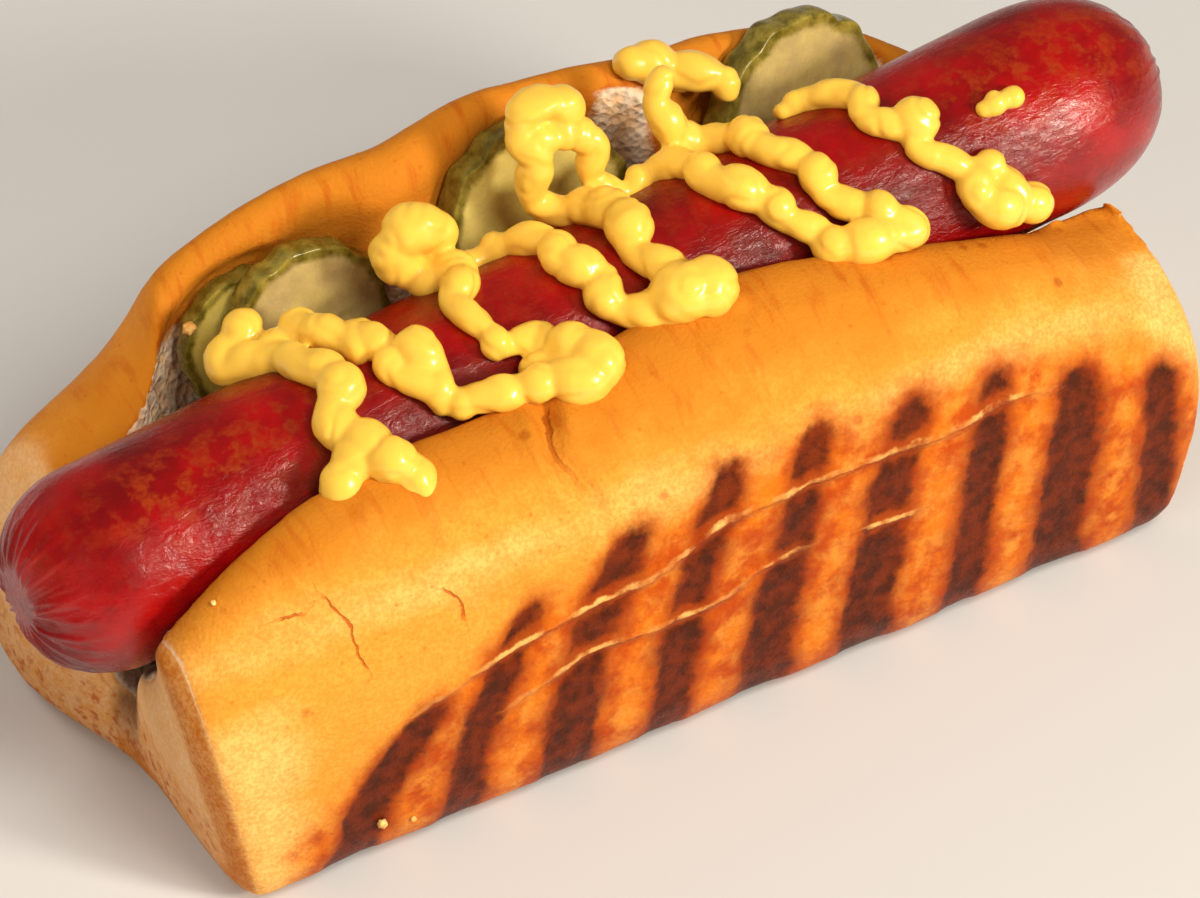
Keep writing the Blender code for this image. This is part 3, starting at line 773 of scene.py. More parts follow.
def paint_regions(mesh, bun):
    """Layers for the crust's tones, the torn edges, the corner strip, and painted shade in the seam and under
    the sausage's left end.
    """
    x, y, z, angle = bun.x, bun.y, bun.z, bun.angle
    paint(mesh, "inner", bun.inner)
    paint(mesh, "turn", bell(bun.inner, 0.4, 0.25) * (1.0 - bun.end) * smooth_step(30.0, 38.0, z))
    paint(mesh, "end", bun.end)
    back_deep = 0.55 + 0.45 * smooth_step(150.0, 112.0, angle)
    paint(mesh, "deep", np.where(angle < 90.0, smooth_step(36.0, 62.0, angle), back_deep))
    left_corner = bun.near * smooth_step(-52.0, -68.0, x) * smooth_step(38.0, 12.0, angle)
    right_corner = bun.near * smooth_step(56.0, 68.0, x) * smooth_step(55.0, 35.0, angle)
    belt = 0.7 * bun.near * bell(angle, 36.0, 9.0)
    paint(mesh, "pale", np.maximum(np.maximum(left_corner, right_corner), belt))
    paint(mesh, "low", smooth_step(22.0, 4.0, z))
    rim = smooth_step(5.5, 3.2, rim_depth(angle, bun.reach, bun.left_end > 0.4))
    paint(mesh, "strip", bun.left_end * bun.near * rim)
    paint(mesh, "corner_way", 6.0 * (bun.end - 0.3))
    paint(mesh, "corner", bun.near * smooth_step(-58.0, -64.0, x) * smooth_step(28.0, 38.0, z))
    # Painted shade: the seam between the halves on the left end face and the gap under the sausage's left
    # end.
    seam = smooth_step(4.2, 1.6, np.abs(y + 1.0)) * smooth_step(2.0, 14.0, z) * bun.left_end
    under = smooth_step(-50.0, -58.0, x) * smooth_step(34.0, 28.0, z) * smooth_step(12.0, 8.0, np.abs(y))
    under *= (1.0 - bun.left_end) * smooth_step(6.0, 10.0, z)
    paint(mesh, "slot", np.maximum(seam, under))


class BunMasks:
    """Masks that the bun's colours, roughness and relief share."""

    def __init__(self, graph):
        self.patches = graph.mottle(11.0, 0.24)
        self.middling = graph.mottle(2.6, 0.16)
        self.fine = graph.mottle(0.55, 0.13)
        self.toasted = graph.ragged(graph.painted("toast"), 9.0, 9.0, 7.0)
        self.torn = graph.ragged(graph.math("SUBTRACT", graph.painted("inner"), 0.5), 0.3, 0.8, 2.0)
        self.fold = graph.line("fold", 0.5, 1.4)
        self.crack = graph.line("crack", 0.26, 1.8)
        self.wrinkle = graph.line("wrinkle", 0.62, 1.6)
        char = graph.ragged(graph.painted("bar"), 1.9, 3.4, 1.7)
        kept_off = graph.times(graph.line("wrinkle", 2.1, 3.2), 0.95)
        self.charred = graph.times(char, graph.math("SUBTRACT", 1.0, kept_off, clamp=True))


def crust_colour(graph, settings, masks):
    """Golden crust, deeper by the lips and paler at the corners, with fine specks and streaks."""
    uneven = graph.times(graph.math("SUBTRACT", masks.patches, 0.5), 0.5)
    deepness = graph.math("ADD", graph.painted("deep"), uneven)
    colour = graph.mix(graph.spread(deepness, -0.1, 0.9), settings.crust, settings.deep)
    streaks = graph.noise(8.0, 3.0, 0.6, stretch=(0.5, 1.4, 1.4))
    uneven = graph.times(graph.math("SUBTRACT", streaks, 0.5), 0.9)
    paleness = graph.math("ADD", graph.painted("pale"), uneven)
    colour = graph.mix(graph.spread(paleness, 0.3, 1.0), colour, settings.cream)
    colour = graph.laid(colour, settings.deep, masks.fine, 0.42)
    colour = graph.laid(colour, settings.deep, masks.middling, 0.22)
    colour = graph.laid(colour, settings.toast_dark, graph.flecks(1.2, 0.22), 0.3)
    drawn_out = graph.noise(2.6, 4.0, 0.6, stretch=(1.5, 0.3, 0.3))
    by_lip = graph.times(graph.painted("deep"), graph.spread(drawn_out, 0.5, 0.72, 0.0, 0.5))
    return graph.mix(by_lip, colour, settings.toast_dark)


def toast_colour(graph, settings, masks, colour):
    """The toasted patch with its grill bars and the pale wrinkles across them."""
    browned = graph.mix(graph.mottle(5.0, 0.13), settings.toast, settings.toast_dark)
    browned = graph.laid(browned, settings.crust, graph.mottle(3.4, 0.13, -0.05), 0.7)
    browned = graph.laid(browned, settings.bar_edge, masks.fine, 0.18)
    colour = graph.mix(masks.toasted, colour, browned)
    halo = graph.times(graph.spread(graph.painted("bar"), -6.0, 0.0), masks.toasted)
    colour = graph.laid(colour, settings.toast_dark, halo, 0.45)
    edge = graph.ragged(graph.math("ADD", graph.painted("bar"), 1.1), 3.6, 3.6, 2.6)
    colour = graph.laid(colour, settings.bar_edge, edge, 0.8)
    speckled = graph.laid(settings.bar, settings.bar_edge, masks.middling, 0.45)
    colour = graph.mix(masks.charred, colour, speckled)
    dashed = graph.mottle(4.5, 0.12)
    shown = graph.times(dashed, graph.spread(graph.painted("bar"), -2.5, 0.5, 0.35, 0.8))
    return graph.mix(graph.times(masks.wrinkle, shown), colour, settings.cream)


def end_colour(graph, settings, masks):
    """The soft ends, browner and specked towards the base."""
    low = graph.painted("low")
    sides = graph.mix(graph.spread(low, 0.0, 1.0, 0.0, 0.55), settings.side, settings.deep)
    sides = graph.laid(sides, settings.deep, masks.patches, 0.25)
    sides = graph.laid(sides, settings.crumb, masks.middling, 0.25)
    sides = graph.laid(sides, settings.deep, masks.fine, 0.3)
    specked = graph.times(graph.mottle(1.7, 0.08, -0.07), graph.spread(low, 0.1, 0.9, 0.0, 0.75))
    return graph.mix(specked, sides, settings.toast_dark)


def edge_colour(graph, settings, masks, colour):
    """The crust's cut edge, the corner's torn line, painted shade along folds and cracks, and specks."""
    strip = graph.times(graph.painted("strip"), graph.spread(masks.middling, 0.0, 1.0, 0.65, 1.0))
    colour = graph.mix(strip, colour, settings.deep)
    colour = graph.mix(graph.times(strip, graph.times(masks.fine, 0.5)), colour, settings.toast_dark)
    colour = graph.laid(colour, settings.crumb, graph.line("corner", 0.9, 2.6), 0.5)
    turned = graph.times(graph.painted("turn"), graph.spread(masks.middling, 0.0, 1.0, 0.2, 0.7))
    colour = graph.mix(turned, colour, settings.toast_dark)
    # Painted shade: dark lines along the folds and the cracks.
    colour = graph.laid(colour, settings.bar_edge, masks.fold, 0.75)
    colour = graph.laid(colour, settings.toast_dark, masks.crack, 0.75)
    return graph.laid(colour, settings.bar_edge, graph.flecks(3.4, 0.16), 0.45)


def bun_roughness(graph, masks):
    """Duller crumb, and a slight sheen where butter and char lie."""
    rough = graph.spread(masks.fine, 0.0, 1.0, 0.48, 0.6)
    rough = graph.math("SUBTRACT", rough, graph.times(masks.toasted, 0.12))
    rough = graph.math("SUBTRACT", rough, graph.times(masks.charred, 0.06))
    return graph.math("ADD", rough, graph.times(masks.torn, 0.4), clamp=True)


def bun_relief(graph, masks):
    """Grain of the crust, blisters of the toast, drawn lines and open crumb."""
    normal = graph.bump(graph.noise(0.55, 5.0, 0.65), 0.24, 0.8)
    blistered = graph.math("MAXIMUM", masks.charred, graph.times(masks.toasted, 0.45))
    normal = graph.bump(graph.times(graph.noise(0.8, 4.0, 0.7), blistered), 0.4, 0.8, normal)
    drawn = graph.math("ADD", graph.times(masks.fold, -0.6), graph.times(masks.crack, -0.5))
    drawn = graph.math("ADD", drawn, graph.times(masks.wrinkle, 0.5))
    normal = graph.bump(drawn, 0.5, 0.8, normal)
    return graph.bump(graph.times(graph.cells(1.1), masks.torn), 0.6, 0.8, normal)


def bun_material(settings):
    material, graph, shader = new_material("bun crust and crumb")
    masks = BunMasks(graph)
    colour = toast_colour(graph, settings, masks, crust_colour(graph, settings, masks))
    colour = graph.mix(graph.painted("end"), colour, end_colour(graph, settings, masks))
    colour = edge_colour(graph, settings, masks, colour)
    # Painted shade: the torn crumb is darkened towards the end colour inside its pores.
    porous = graph.spread(graph.painted("pore"), 0.2, 1.2, 0.0, 0.6)
    colour = graph.mix(masks.torn, colour, graph.mix(porous, settings.crumb, settings.side))
    # Painted shade: the char colour darkens the seam and the gap under the sausage's left end.
    colour = graph.laid(colour, settings.bar, graph.painted("slot"), 0.9)
    graph.feed(shader.inputs["Base Color"], colour)
    graph.feed(shader.inputs["Roughness"], bun_roughness(graph, masks))
    graph.feed(shader.inputs["Normal"], bun_relief(graph, masks))
    shader.inputs["Specular IOR Level"].default_value = 0.2
    shader.inputs["Specular Tint"].default_value = (1.0, 0.6, 0.28, 1.0)
    return material


class HOTDOG_OT_bun(bpy.types.Operator):
    """Make the bun's crust and crumb from its solid"""

    bl_idname = "hotdog.bun"
    bl_label = "Bun"

    def execute(self, context):
        settings = context.scene.hotdog_bun
        piece = frame["nodes"]["bun"].copy()
        piece.data = piece.data.copy()
        for key in list(piece.keys()):
            del piece[key]
        piece.name = "bun_bread"
        piece.parent = None
        context.scene.collection.objects.link(piece)
        run_together(piece, settings.grain, 14)
        shape_bun(piece.data, settings)
        dress(piece, "bun", bun_material(settings))
        return {"FINISHED"}


# ---------------------------------------------------------------- sausage


class SausageForm:
    """The sausage's axis and radii, read from its solid."""

    def __init__(self, left_cap=LEFT_CAP, right_cap=RIGHT_CAP):
        points = points_of(frame["nodes"]["sausage"].data)
        self.tail = points[points[:, 0].argmin()]
        self.head = points[points[:, 0].argmax()]
        self.left_cap, self.right_cap = left_cap, right_cap
        along = (self.head - self.tail) / np.linalg.norm(self.head - self.tail)
        offset = points - self.tail
        reach = np.linalg.norm(offset - np.outer(offset @ along, along), axis=1)
        body = (points[:, 0] > self.tail[0] + left_cap) & (points[:, 0] < self.head[0] - right_cap)
        slope, start = np.polyfit(points[body, 0], reach[body], 1)
        self.tail_radius = start + slope * self.tail[0]
        self.head_radius = start + slope * self.head[0]
        self.along = along

    def share(self, x):
        return (x - self.tail[0]) / (self.head[0] - self.tail[0])

    def centre(self, x):
        return self.tail + np.multiply.outer(self.share(x), self.head - self.tail)

    def body_radius(self, x):
        return self.tail_radius + (self.head_radius - self.tail_radius) * self.share(x)

    def radius(self, x):
        """Radius at x with both ends rounded off."""
        left = np.clip((x - self.tail[0]) / self.left_cap, 0.0, 1.0)
        right = np.clip((self.head[0] - x) / self.right_cap, 0.0, 1.0)
        blunt = (1.0 - (1.0 - left) ** 2.3) ** (1 / 2.15)
        long = (1.0 - (1.0 - right) ** 2.5) ** (1 / 2.25)
        return self.body_radius(x) * blunt * long

    def place(self, x, degrees, height):
        """A point round from the top to the near side, at a height above the skin."""
        angle = math.radians(degrees)
        reach = self.body_radius(x) + height
        return self.centre(x) + reach * np.array((0.0, -math.sin(angle), math.cos(angle)))


def shape_sausage(piece, form, along_x, round_degrees, radius):
    """Puckered end, wrinkled near side and gentle dents, with painted layers for the browning."""
    mesh = piece.data
    points, normals = points_of(mesh), normals_of(mesh)
    turn = np.radians(round_degrees)
    skin = np.stack([along_x / 9.0, np.cos(turn) * 4.0, np.sin(turn) * 4.0], axis=1)
    lift = 0.25 * noise_at(points, 19.0, 11.0) + 0.10 * noise_at(points, 8.0, 12.0)
    lift *= smooth_step(2.0, 9.0, radius)

    rays = np.stack([np.cos(turn) * 3.4, np.sin(turn) * 3.4, along_x / 16.0], axis=1)
    crinkle = np.abs(noise_at(rays, 1.0, 13.0))
    fine_rays = np.abs(noise_at(rays * 2.3, 1.0, 14.0))
    left = bell(along_x, form.tail[0], 5.0) * smooth_step(0.3, 2.5, radius)
    lift -= left * (0.42 * smooth_step(0.25, 0.0, crinkle) + 0.25 * smooth_step(0.2, 0.0, fine_rays))
    lift -= 0.5 * bell(radius, 0.0, 2.0) * smooth_step(0.0, -20.0, along_x)
    right = bell(along_x, form.head[0], 4.5) * smooth_step(0.5, 4.0, radius)
    lift -= right * 0.22 * smooth_step(0.2, 0.0, crinkle)

    near_side = bell(round_degrees, 62.0, 34.0)
    middle = smooth_step(-78.0, -50.0, along_x) * smooth_step(78.0, 40.0, along_x)
    wrinkled = near_side * middle
    creases = noise_at(skin * np.array((3.2, 1.4, 1.4)), 1.0, 15.0)
    lift -= 0.10 * wrinkled * smooth_step(0.1, 0.5, np.abs(creases))
    moved = points + normals * (lift - 0.25)[:, None]
    moved[:, 0] = np.clip(moved[:, 0], form.tail[0], form.head[0])
    set_points(mesh, moved)
    paint(mesh, "wrinkled", wrinkled)
    browned = bell(round_degrees, 22.0, 30.0) * smooth_step(-80.0, -66.0, along_x)
    browned *= smooth_step(-30.0, -44.0, along_x)
    browned = np.maximum(browned, 0.8 * bell(round_degrees, 20.0, 40.0) * smooth_step(38.0, 56.0, along_x))
    browned = np.maximum(browned, 0.3 * bell(round_degrees, 20.0, 30.0))
    paint(mesh, "browned", browned)
    grilled = bell(round_degrees, 58.0, 26.0) * smooth_step(-66.0, -44.0, along_x)
    grilled *= smooth_step(60.0, 30.0, along_x)
    paint(mesh, "grilled", grilled)


def sausage_material(settings):
    material, graph, shader = new_material("sausage casing")
    broad = graph.mottle(12.0, 0.2)
    colour = graph.mix(broad, settings.dark, settings.red)
    patch = graph.mottle(3.2, 0.06, -0.02)
    fleck = graph.mottle(0.9, 0.12)
    worn = graph.times(patch, graph.spread(fleck, 0.0, 1.0, 0.45, 1.0))
    colour = graph.mix(graph.times(graph.painted("browned"), worn), colour, settings.brown)
    burnt = graph.times(graph.painted("grilled"), graph.spread(patch, 0.0, 1.0, 0.6, 1.0))
    colour = graph.mix(burnt, colour, settings.grilled)
    soot = graph.mottle(1.5, 0.1, -0.06)
    colour = graph.laid(colour, settings.dark, graph.times(soot, graph.painted("grilled")), 0.6)
    graph.feed(shader.inputs["Base Color"], colour)

    rough = graph.spread(fleck, 0.0, 1.0, 0.26, 0.36)
    rough = graph.math("ADD", rough, graph.times(graph.painted("grilled"), 0.06))
    graph.feed(shader.inputs["Roughness"], rough)

    skin = graph.noise(1.3, 5.0, 0.6, stretch=(0.55, 1.2, 1.2), warp=0.6)
    shrunk = graph.times(skin, graph.spread(graph.painted("wrinkled"), 0.0, 1.0, 0.25, 1.0))
    normal = graph.bump(shrunk, 0.55, 0.9)
    net = graph.cells(0.75, "DISTANCE_TO_EDGE")
    netted = graph.times(net, graph.spread(graph.painted("wrinkled"), 0.0, 1.0, 0.15, 1.0))
    normal = graph.bump(netted, 0.12, 0.5, normal)
    graph.feed(shader.inputs["Normal"], normal)
    graph.feed(shader.inputs["Coat Normal"], normal)
    shader.inputs["Coat Weight"].default_value = 0.4
    shader.inputs["Coat Roughness"].default_value = 0.22
    shader.inputs["Specular IOR Level"].default_value = 0.36
    shader.inputs["Specular Tint"].default_value = (1.0, 0.82, 0.76, 1.0)
    return material


def sausage_skin(form, settings):
    """A bare casing, with each point's place along x, degrees round from the top and ring radius."""
    middle, half = (form.head[0] + form.tail[0]) / 2, (form.head[0] - form.tail[0]) / 2
    steps = np.linspace(-1.0, 1.0, settings.rings)[1:-1]
    places = middle + half * (0.22 * steps + 0.78 * np.sin(np.pi * steps / 2))
    side_way = np.cross((0.0, 0.0, 1.0), form.along)
    side_way /= np.linalg.norm(side_way)
    up_way = np.cross(form.along, side_way)
    turns = np.linspace(0.0, 360.0, settings.sides, endpoint=False) - 180.0
    vertices, along_x, degrees, widths = [], [], [], []
    for x, radius in zip(places, form.radius(places)):
        for turn in turns:
            way = math.cos(math.radians(turn)) * up_way - math.sin(math.radians(turn)) * side_way
            vertices.append(form.centre(x) + radius * way)
            along_x.append(x)
            degrees.append(turn)
            widths.append(radius)
    rings, sides = len(places), settings.sides
    faces = ring_faces(rings, sides)
    for tip, ring, flip in ((form.tail, 0, False), (form.head, rings - 1, True)):
        vertices.append(tip)
        along_x.append(tip[0])
        degrees.append(0.0)
        widths.append(0.0)
        for side in range(sides):
            corners = [ring * sides + side, ring * sides + (side + 1) % sides]
            faces.append((*(corners[::-1] if flip else corners), len(vertices) - 1))
    piece = piece_from("sausage_casing", np.array(vertices), faces)
    return piece, np.array(along_x), np.array(degrees), np.array(widths)


class HOTDOG_OT_sausage(bpy.types.Operator):
    """Make the sausage's casing along its solid's axis"""

    bl_idname = "hotdog.sausage"
    bl_label = "Sausage"

    def execute(self, context):
        settings = context.scene.hotdog_sausage
        form = SausageForm(settings.left_cap, settings.right_cap)
        piece, along_x, degrees, widths = sausage_skin(form, settings)
        shape_sausage(piece, form, along_x, degrees, widths)
        dress(piece, "sausage", sausage_material(settings))
        return {"FINISHED"}


# ---------------------------------------------------------------- pickles


def pickle_form(node):
    """Middle, facing, right and up ways, radius and thickness of a slice's solid."""
    points = points_of(frame["nodes"][node].data)
    middle = (points.max(0) + points.min(0)) / 2
    ways = np.linalg.svd(points - points.mean(0), full_matrices=False)[2]
    facing = ways[2] * (-1.0 if ways[2][1] > 0 else 1.0)
    up = np.array((0.0, 0.0, 1.0)) - facing[2] * facing
    up /= np.linalg.norm(up)
    right = np.cross(up, facing)
    offset = points - middle
    radius = np.hypot(offset @ right, offset @ up).max()
    depth = np.ptp(offset @ facing)
    return middle, facing, right, up, radius, depth


def make_pickle(node, seed, sides=220):
    """A crinkled slice with a rounded rim, uneven faces and three soft seed chambers."""
    middle, facing, right, up, radius, depth = pickle_form(node)
    half = depth / 2 - 0.45
    shares = list(np.linspace(0.02, 0.9, 40)) + [0.93, 0.955, 0.975]
    profile = [(share, 1.0) for share in shares]
    for degrees in range(75, -76, -15):
        bend = math.radians(degrees)
        profile.append((0.975 + 0.025 * math.cos(bend), math.sin(bend)))
    profile += [(share, -1.0) for share in shares[::-2]]
    vertices, share_values, chamber_values = [], [], []
    for share, face in profile:
        for side in range(sides):
            turn = 2 * math.pi * side / sides
            rim = share**4
            wave = 0.018 * math.cos(11 * turn + seed) + 0.012 * math.cos(17 * turn + 2.3 * seed)
            rugged = 0.012 * noise.noise(Vector((3 * math.cos(turn), 3 * math.sin(turn), seed * 5.0)))
            reach = (radius - 0.5) * share * (1.0 - 0.03 + rim * (wave + rugged))
            across, rise = reach * math.cos(turn), reach * math.sin(turn)
            grain = noise.noise(Vector((across / 2.2, rise / 2.2, seed)))
            chamber = max(0.0, math.cos(3 * turn + seed)) * math.exp(-(((share - 0.42) / 0.2) ** 2))
            relief = face * (half * (1.0 - 0.12 * (1.0 - share) ** 2) - 0.35 * chamber + 0.12 * grain)
            vertices.append(middle + across * right + rise * up + relief * facing)
            share_values.append(share)
            chamber_values.append(chamber)
    faces = ring_faces(len(profile), sides)
    faces.append(tuple(range(sides)))
    faces.append(tuple(reversed(range((len(profile) - 1) * sides, len(profile) * sides))))
    piece = piece_from(node.replace("pickle", "pickle_slice"), np.array(vertices), faces)
    paint(piece.data, "share", share_values)
    paint(piece.data, "chamber", chamber_values)
    return piece


def pickle_material(name, settings, flesh, yellowness):
    material, graph, shader = new_material(name)
    share = graph.painted("share")
    cloud = graph.mottle(3.4, 0.22)
    colour = graph.mix(graph.times(cloud, 0.2 + 0.8 * yellowness), flesh, settings.flesh)
    heart = graph.times(graph.spread(share, 0.75, 0.2), yellowness)
    colour = graph.mix(heart, colour, settings.core)
    seeds = graph.flecks(2.6, 0.25)
    seeded = graph.times(seeds, graph.painted("chamber"))
    colour = graph.laid(colour, settings.pale, seeded, 0.7)
    streak = graph.noise(2.4, 5.0, 0.65, stretch=(1.5, 1.5, 0.4))
    colour = graph.mix(graph.spread(streak, 0.55, 0.75, 0.0, 0.22), colour, settings.core)
    green = graph.ragged(graph.math("SUBTRACT", share, RIND_START), 0.09, 0.16, 3.0)
    blotch = graph.mottle(2.2, 0.2)
    rind = graph.mix(graph.times(blotch, 0.4), settings.rind, settings.core)
    colour = graph.mix(green, colour, rind)
    graph.feed(shader.inputs["Base Color"], colour)
    wet = graph.mottle(1.3, 0.2)
    graph.feed(shader.inputs["Roughness"], graph.spread(wet, 0.0, 1.0, 0.14, 0.34))
    normal = graph.bump(graph.noise(1.8, 4.0, 0.5, stretch=(1.4, 1.4, 0.6)), 0.25, 0.6)
    normal = graph.bump(graph.noise(0.4, 3.0, 0.6), 0.08, 0.5, normal)
    graph.feed(shader.inputs["Normal"], normal)
    shader.inputs["Subsurface Weight"].default_value = 0.45
    shader.inputs["Subsurface Radius"].default_value = (0.9, 1.0, 0.35)
    shader.inputs["Subsurface Scale"].default_value = 0.0022
    shader.inputs["Coat Weight"].default_value = 0.25
    shader.inputs["Coat Roughness"].default_value = 0.12
    return material


class HOTDOG_OT_pickles(bpy.types.Operator):
    """Make the four slices of pickled cucumber from their solids"""

    bl_idname = "hotdog.pickles"
    bl_label = "Pickle slices"

    def execute(self, context):
        settings = context.scene.hotdog_pickle
        looks = {
            "pickle_1": (settings.pale, 0.15),
            "pickle_2": (settings.core, 0.7),
            "pickle_3": (settings.flesh, 0.5),
            "pickle_4": (settings.pale, 0.2),
        }
        for index, (node, (flesh, yellowness)) in enumerate(looks.items()):
            piece = make_pickle(node, 1.0 + 1.7 * index)
            material = pickle_material(node.replace("_", " slice "), settings, flesh, yellowness)
            dress(piece, node, material)
        return {"FINISHED"}


# ---------------------------------------------------------------- mustard


def stroke_beads(form, turns, thread, pitch):
    """Centres and radii of the balls that run together into one stroke of droplets, pitch apart."""
    turns = [np.array(turn, float) for turn in turns]
    path = [turns[0], *turns, turns[-1]]
    beads = []
    travelled = pitch / 4
    last = None
    for before, start, stop, after in zip(path, path[1:], path[2:], path[3:]):
        length = np.linalg.norm(form.place(*stop[:3]) - form.place(*start[:3]))
        steps = max(4, int(length / 0.35))
        for step in range(steps + 1):
            x, degrees, lift, fullness = between(before, start, stop, after, step / steps)
            place = form.place(x, degrees, lift)
            travelled += 0.0 if last is None else np.linalg.norm(place - last)
            last = place
            drift = Vector((travelled / (2.2 * pitch), x / 40.0, 0.5))
            phase = 2 * math.pi * (travelled / pitch + 0.55 * noise.noise(drift))
            swell = 0.12 + 0.14 * noise.noise(3.0 * drift)
            radius = thread * fullness * (0.94 + swell * math.cos(phase))
            sway = 1.0 / max(1.0, fullness) ** 2 * math.sin(0.5 * phase)
            beads.append((form.place(x + sway, degrees + 1.5 * sway, lift + 0.8 * radius), radius))
    return beads


def ball():
    """Points and faces of a unit ball."""
    mesh = bmesh.new()
    bmesh.ops.create_icosphere(mesh, subdivisions=3, radius=1.0)
    points = np.array([vertex.co[:] for vertex in mesh.verts])
    faces = np.array([[vertex.index for vertex in face.verts] for face in mesh.faces])
    mesh.free()
    return points, faces


def seat(points, trees, sink):
    """Moves points that lie deeper than sink inside a neighbour out to that depth."""
    moved = points * MM
    for tree in trees:
        for index, point in enumerate(moved):
            place, normal, _, distance = tree.find_nearest(Vector(point), 5.0 * MM)
            if place is None:
                continue
            if (Vector(point) - place).dot(normal) < 0.0 and distance > sink * MM:
                moved[index] = place - normal * sink * MM
    return moved / MM


def below_top(points):
    """Rounds off what would rise past the solid model's top, over the last few millimetres."""
    depth = 4.0
    start = CAD_BOX[1][2] / MM - depth
    over = np.maximum(points[:, 2] - start, 0.0)
    points[:, 2] += depth * np.tanh(over / depth) - over
    return points


def mustard_material(settings):
    material, graph, shader = new_material("mustard")
    cloud = graph.mottle(5.0, 0.3)
    darker = tuple(0.88 * value for value in settings.yellow)
    graph.feed(shader.inputs["Base Color"], graph.mix(cloud, darker, settings.yellow))
    fine = graph.mottle(0.5, 0.3)
    graph.feed(shader.inputs["Roughness"], graph.spread(fine, 0.0, 1.0, 0.27, 0.33))
    graph.feed(shader.inputs["Normal"], graph.bump(graph.noise(0.7, 3.0, 0.5), 0.03, 0.5))
    shader.inputs["Subsurface Weight"].default_value = 0.35
    shader.inputs["Subsurface Radius"].default_value = (1.0, 0.7, 0.08)
    shader.inputs["Subsurface Scale"].default_value = 0.0016
    shader.inputs["Coat Weight"].default_value = 0.25
    shader.inputs["Coat Roughness"].default_value = 0.12
    return material


class HOTDOG_OT_mustard(bpy.types.Operator):
    """Pipe the mustard over the sausage, the slices and the bun"""

    bl_idname = "hotdog.mustard"
    bl_label = "Mustard"

    def execute(self, context):
        settings = context.scene.hotdog_mustard
        form = SausageForm()
        material = mustard_material(settings)
        slices = [thing.name for thing in bpy.data.objects if thing.name.startswith("pickle_slice")]
        trees = [tree_of(bpy.data.objects[name]) for name in ("bun_bread", *slices)]
        ball_points, ball_faces = ball()
        for node, strokes in MUSTARD.items():
            beads = []
            for turns in strokes:
                beads += stroke_beads(form, turns, settings.thread, settings.pitch)
            points = np.concatenate([centre + 1.1 * radius * ball_points for centre, radius in beads])
            faces = np.concatenate([ball_faces + len(ball_points) * index for index in range(len(beads))])
            piece = piece_from(node.replace("mustard", "mustard_line"), points, faces.tolist())
            run_together(piece, settings.voxel, 3)
            points = points_of(piece.data)
            meeting = smooth_step(0.3, 0.0, np.abs(noise_at(points, 4.6, 31.0)))
            points -= normals_of(piece.data) * (settings.crease * meeting)[:, None]
            set_points(piece.data, below_top(seat(points, trees, SINK)))
            dress(piece, node, material)
        return {"FINISHED"}


# ---------------------------------------------------------------- crumbs


def crumb_points(size, seed):
    """A lumpy bit about size across, its points round its own middle."""
    points, faces = ball()
    lumps = np.array([noise.noise(Vector(point) * 1.6 + Vector((seed, 2.0 * seed, 0.0))) for point in points])
    return points * (0.5 * size * (1.0 + 0.35 * lumps))[:, None], faces


def crumb_material():
    material, graph, shader = new_material("bread crumbs")
    patch = graph.mottle(0.8, 0.2)
    colour = graph.mix(patch, tint(244, 208, 130), tint(224, 150, 60))
    graph.feed(shader.inputs["Base Color"], colour)
    graph.feed(shader.inputs["Roughness"], graph.spread(patch, 0.0, 1.0, 0.5, 0.7))
    graph.feed(shader.inputs["Normal"], graph.bump(graph.noise(0.3, 4.0, 0.6), 0.1, 0.8))
    return material


class HOTDOG_OT_crumbs(bpy.types.Operator):
    """Drop a few crumbs where bread and sausage were handled"""

    bl_idname = "hotdog.crumbs"
    bl_label = "Crumbs"

    def execute(self, context):
        bases = sorted({base for base, _, _ in CRUMBS})
        seats = {base: tree_of(bpy.data.objects[base]) for base in bases}
        points, faces = [], []
        for index, (name, place, size) in enumerate(CRUMBS):
            spot, normal, _, _ = seats[name].find_nearest(Vector(place) * MM)
            if spot is None:
                raise RuntimeError("a crumb has nothing to lie on")
            bit, bit_faces = crumb_points(size, 1.0 + index)
            middle = np.array(spot) / MM + np.array(normal) * size * CRUMB_RISE
            faces += (bit_faces + sum(len(other) for other in points)).tolist()
            points.append(bit + middle)
        piece = piece_from("crumbs", np.concatenate(points), faces)
        dress(piece, None, crumb_material())
        return {"FINISHED"}


# ---------------------------------------------------------------- stage


# Soft round lights: name, place, height aimed at over the middle, width, power, colour and whether glossy
# surfaces mirror it. Places and sizes are in metres, power in watts.
LIGHTS = (
    ("key", (0.35, -0.62, 0.36), 0.03, 0.16, 5.2, (1.0, 0.93, 0.82), True),
    ("top", (0.05, -0.42, 0.62), 0.03, 0.3, 3.6, (1.0, 0.94, 0.84), False),
    ("fill", (-0.6, -0.35, 0.4), 0.03, 0.6, 2.2, (1.0, 0.93, 0.82), False),
    ("rim", (-0.25, 0.6, 0.35), 0.05, 0.3, 2.1, (1.0, 0.95, 0.9), False),
)


def add_light(name, place, aim, size, power, colour, reflects):
    light = bpy.data.lights.new(name, "AREA")
    light.shape = "DISK"
    light.size = size
    light.energy = power
    light.color = colour
    lamp = bpy.data.objects.new(name, light)
    lamp.visible_glossy = reflects
    lamp.location = place
    lamp.rotation_euler = (Vector((0.0, 0.0, aim)) - Vector(place)).to_track_quat("-Z", "Y").to_euler()
    bpy.context.scene.collection.objects.link(lamp)


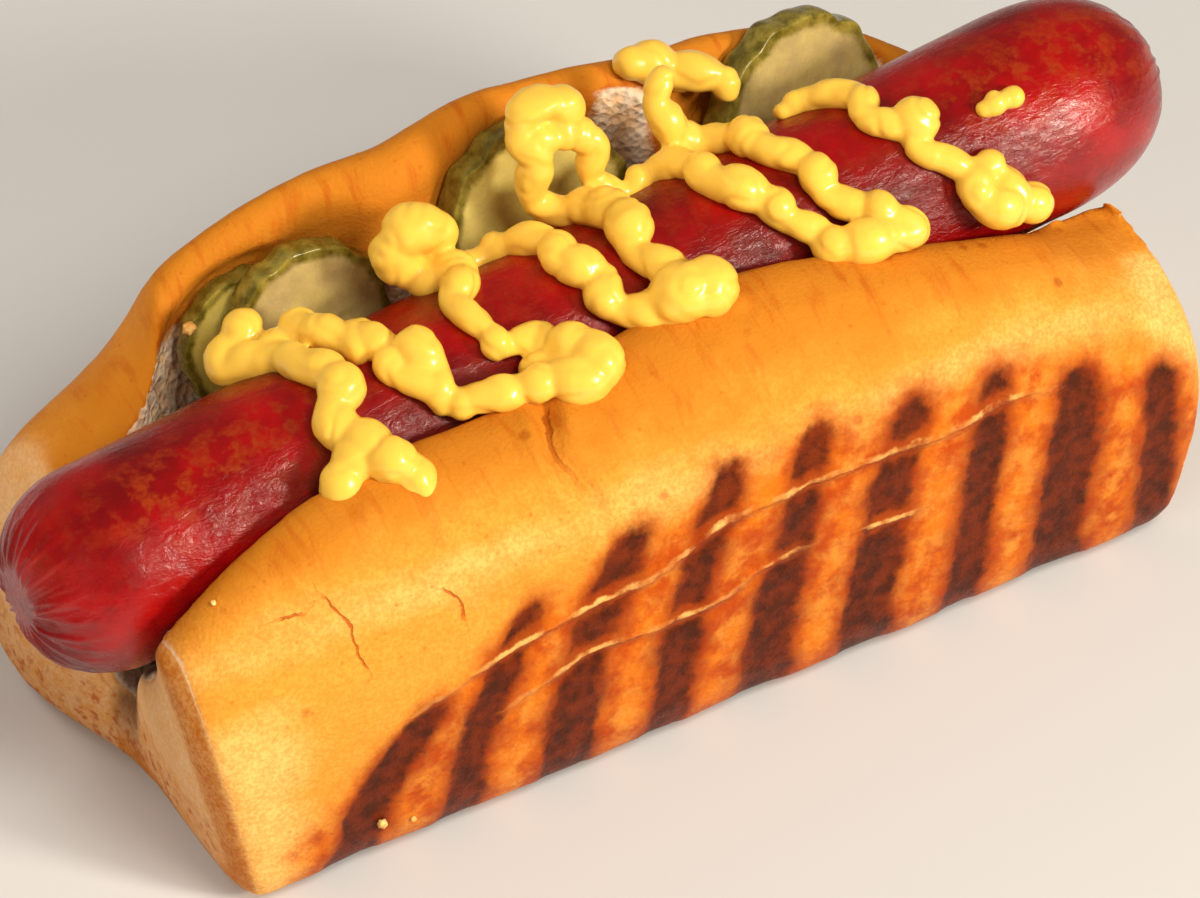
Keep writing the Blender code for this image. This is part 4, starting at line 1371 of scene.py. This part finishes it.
class HOTDOG_OT_stage(bpy.types.Operator):
    """Set up the floor, the soft lights and the camera"""

    bl_idname = "hotdog.stage"
    bl_label = "Stage"

    def execute(self, context):
        settings = context.scene.hotdog_stage
        scene = context.scene
        scene.view_settings.view_transform = "Standard"
        half = 3.0
        corners = [(-half, -half, 0), (half, -half, 0), (half, half, 0), (-half, half, 0)]
        floor_mesh = bpy.data.meshes.new("floor")
        floor_mesh.from_pydata(corners, [], [(0, 1, 2, 3)])
        floor = bpy.data.objects.new("floor", floor_mesh)
        scene.collection.objects.link(floor)
        material, _, shader = new_material("floor")
        shader.inputs["Base Color"].default_value = (*settings.floor, 1.0)
        shader.inputs["Roughness"].default_value = 0.9
        floor_mesh.materials.append(material)

        world = bpy.data.worlds.new("studio")
        world.use_nodes = True
        world.node_tree.nodes["Background"].inputs["Color"].default_value = (1.0, 0.9, 0.76, 1.0)
        world.node_tree.nodes["Background"].inputs["Strength"].default_value = 0.16
        scene.world = world
        for light in LIGHTS:
            add_light(*light)

        azimuth, elevation = math.radians(settings.azimuth), math.radians(settings.elevation)
        target = Vector((0.0, 0.0, 0.035))
        level = math.cos(elevation)
        way = Vector((-math.sin(azimuth) * level, -math.cos(azimuth) * level, math.sin(elevation)))
        camera_data = bpy.data.cameras.new("camera")
        camera_data.lens = settings.lens
        camera_data.sensor_width = 36.0
        camera_data.shift_x = -0.0075
        camera_data.shift_y = -0.0658
        camera = bpy.data.objects.new("camera", camera_data)
        camera.location = target + way * settings.distance
        camera.rotation_mode = "QUATERNION"
        camera.rotation_quaternion = (-way).to_track_quat("-Z", "Y")
        scene.collection.objects.link(camera)
        scene.camera = camera
        return {"FINISHED"}


# ---------------------------------------------------------------- panel and registration


class HOTDOG_PT_panel(bpy.types.Panel):
    """Buttons for every piece and for the stage"""

    bl_label = "Grilled Hot Dog"
    bl_idname = "HOTDOG_PT_panel"
    bl_space_type = "VIEW_3D"
    bl_region_type = "UI"
    bl_category = "Hot Dog"

    def draw(self, context):
        for operator in STEPS:
            self.layout.operator(operator.bl_idname)


STEPS = (
    HOTDOG_OT_bun,
    HOTDOG_OT_sausage,
    HOTDOG_OT_pickles,
    HOTDOG_OT_mustard,
    HOTDOG_OT_crumbs,
    HOTDOG_OT_stage,
)
SETTINGS = {
    "hotdog_bun": HotDogBunSettings,
    "hotdog_sausage": HotDogSausageSettings,
    "hotdog_pickle": HotDogPickleSettings,
    "hotdog_mustard": HotDogMustardSettings,
    "hotdog_stage": HotDogStageSettings,
}


def register():
    for name, settings in SETTINGS.items():
        bpy.utils.register_class(settings)
        setattr(bpy.types.Scene, name, bpy.props.PointerProperty(type=settings))
    for made in (*STEPS, HOTDOG_PT_panel):
        bpy.utils.register_class(made)


def unregister():
    for made in reversed((*STEPS, HOTDOG_PT_panel)):
        bpy.utils.unregister_class(made)
    for name, settings in reversed(SETTINGS.items()):
        delattr(bpy.types.Scene, name)
        bpy.utils.unregister_class(settings)


def main():
    register()
    make_groups()
    bpy.ops.hotdog.bun()
    bpy.ops.hotdog.sausage()
    bpy.ops.hotdog.pickles()
    bpy.ops.hotdog.mustard()
    bpy.ops.hotdog.crumbs()
    bpy.ops.hotdog.stage()


if __name__ == "__main__":
    main()
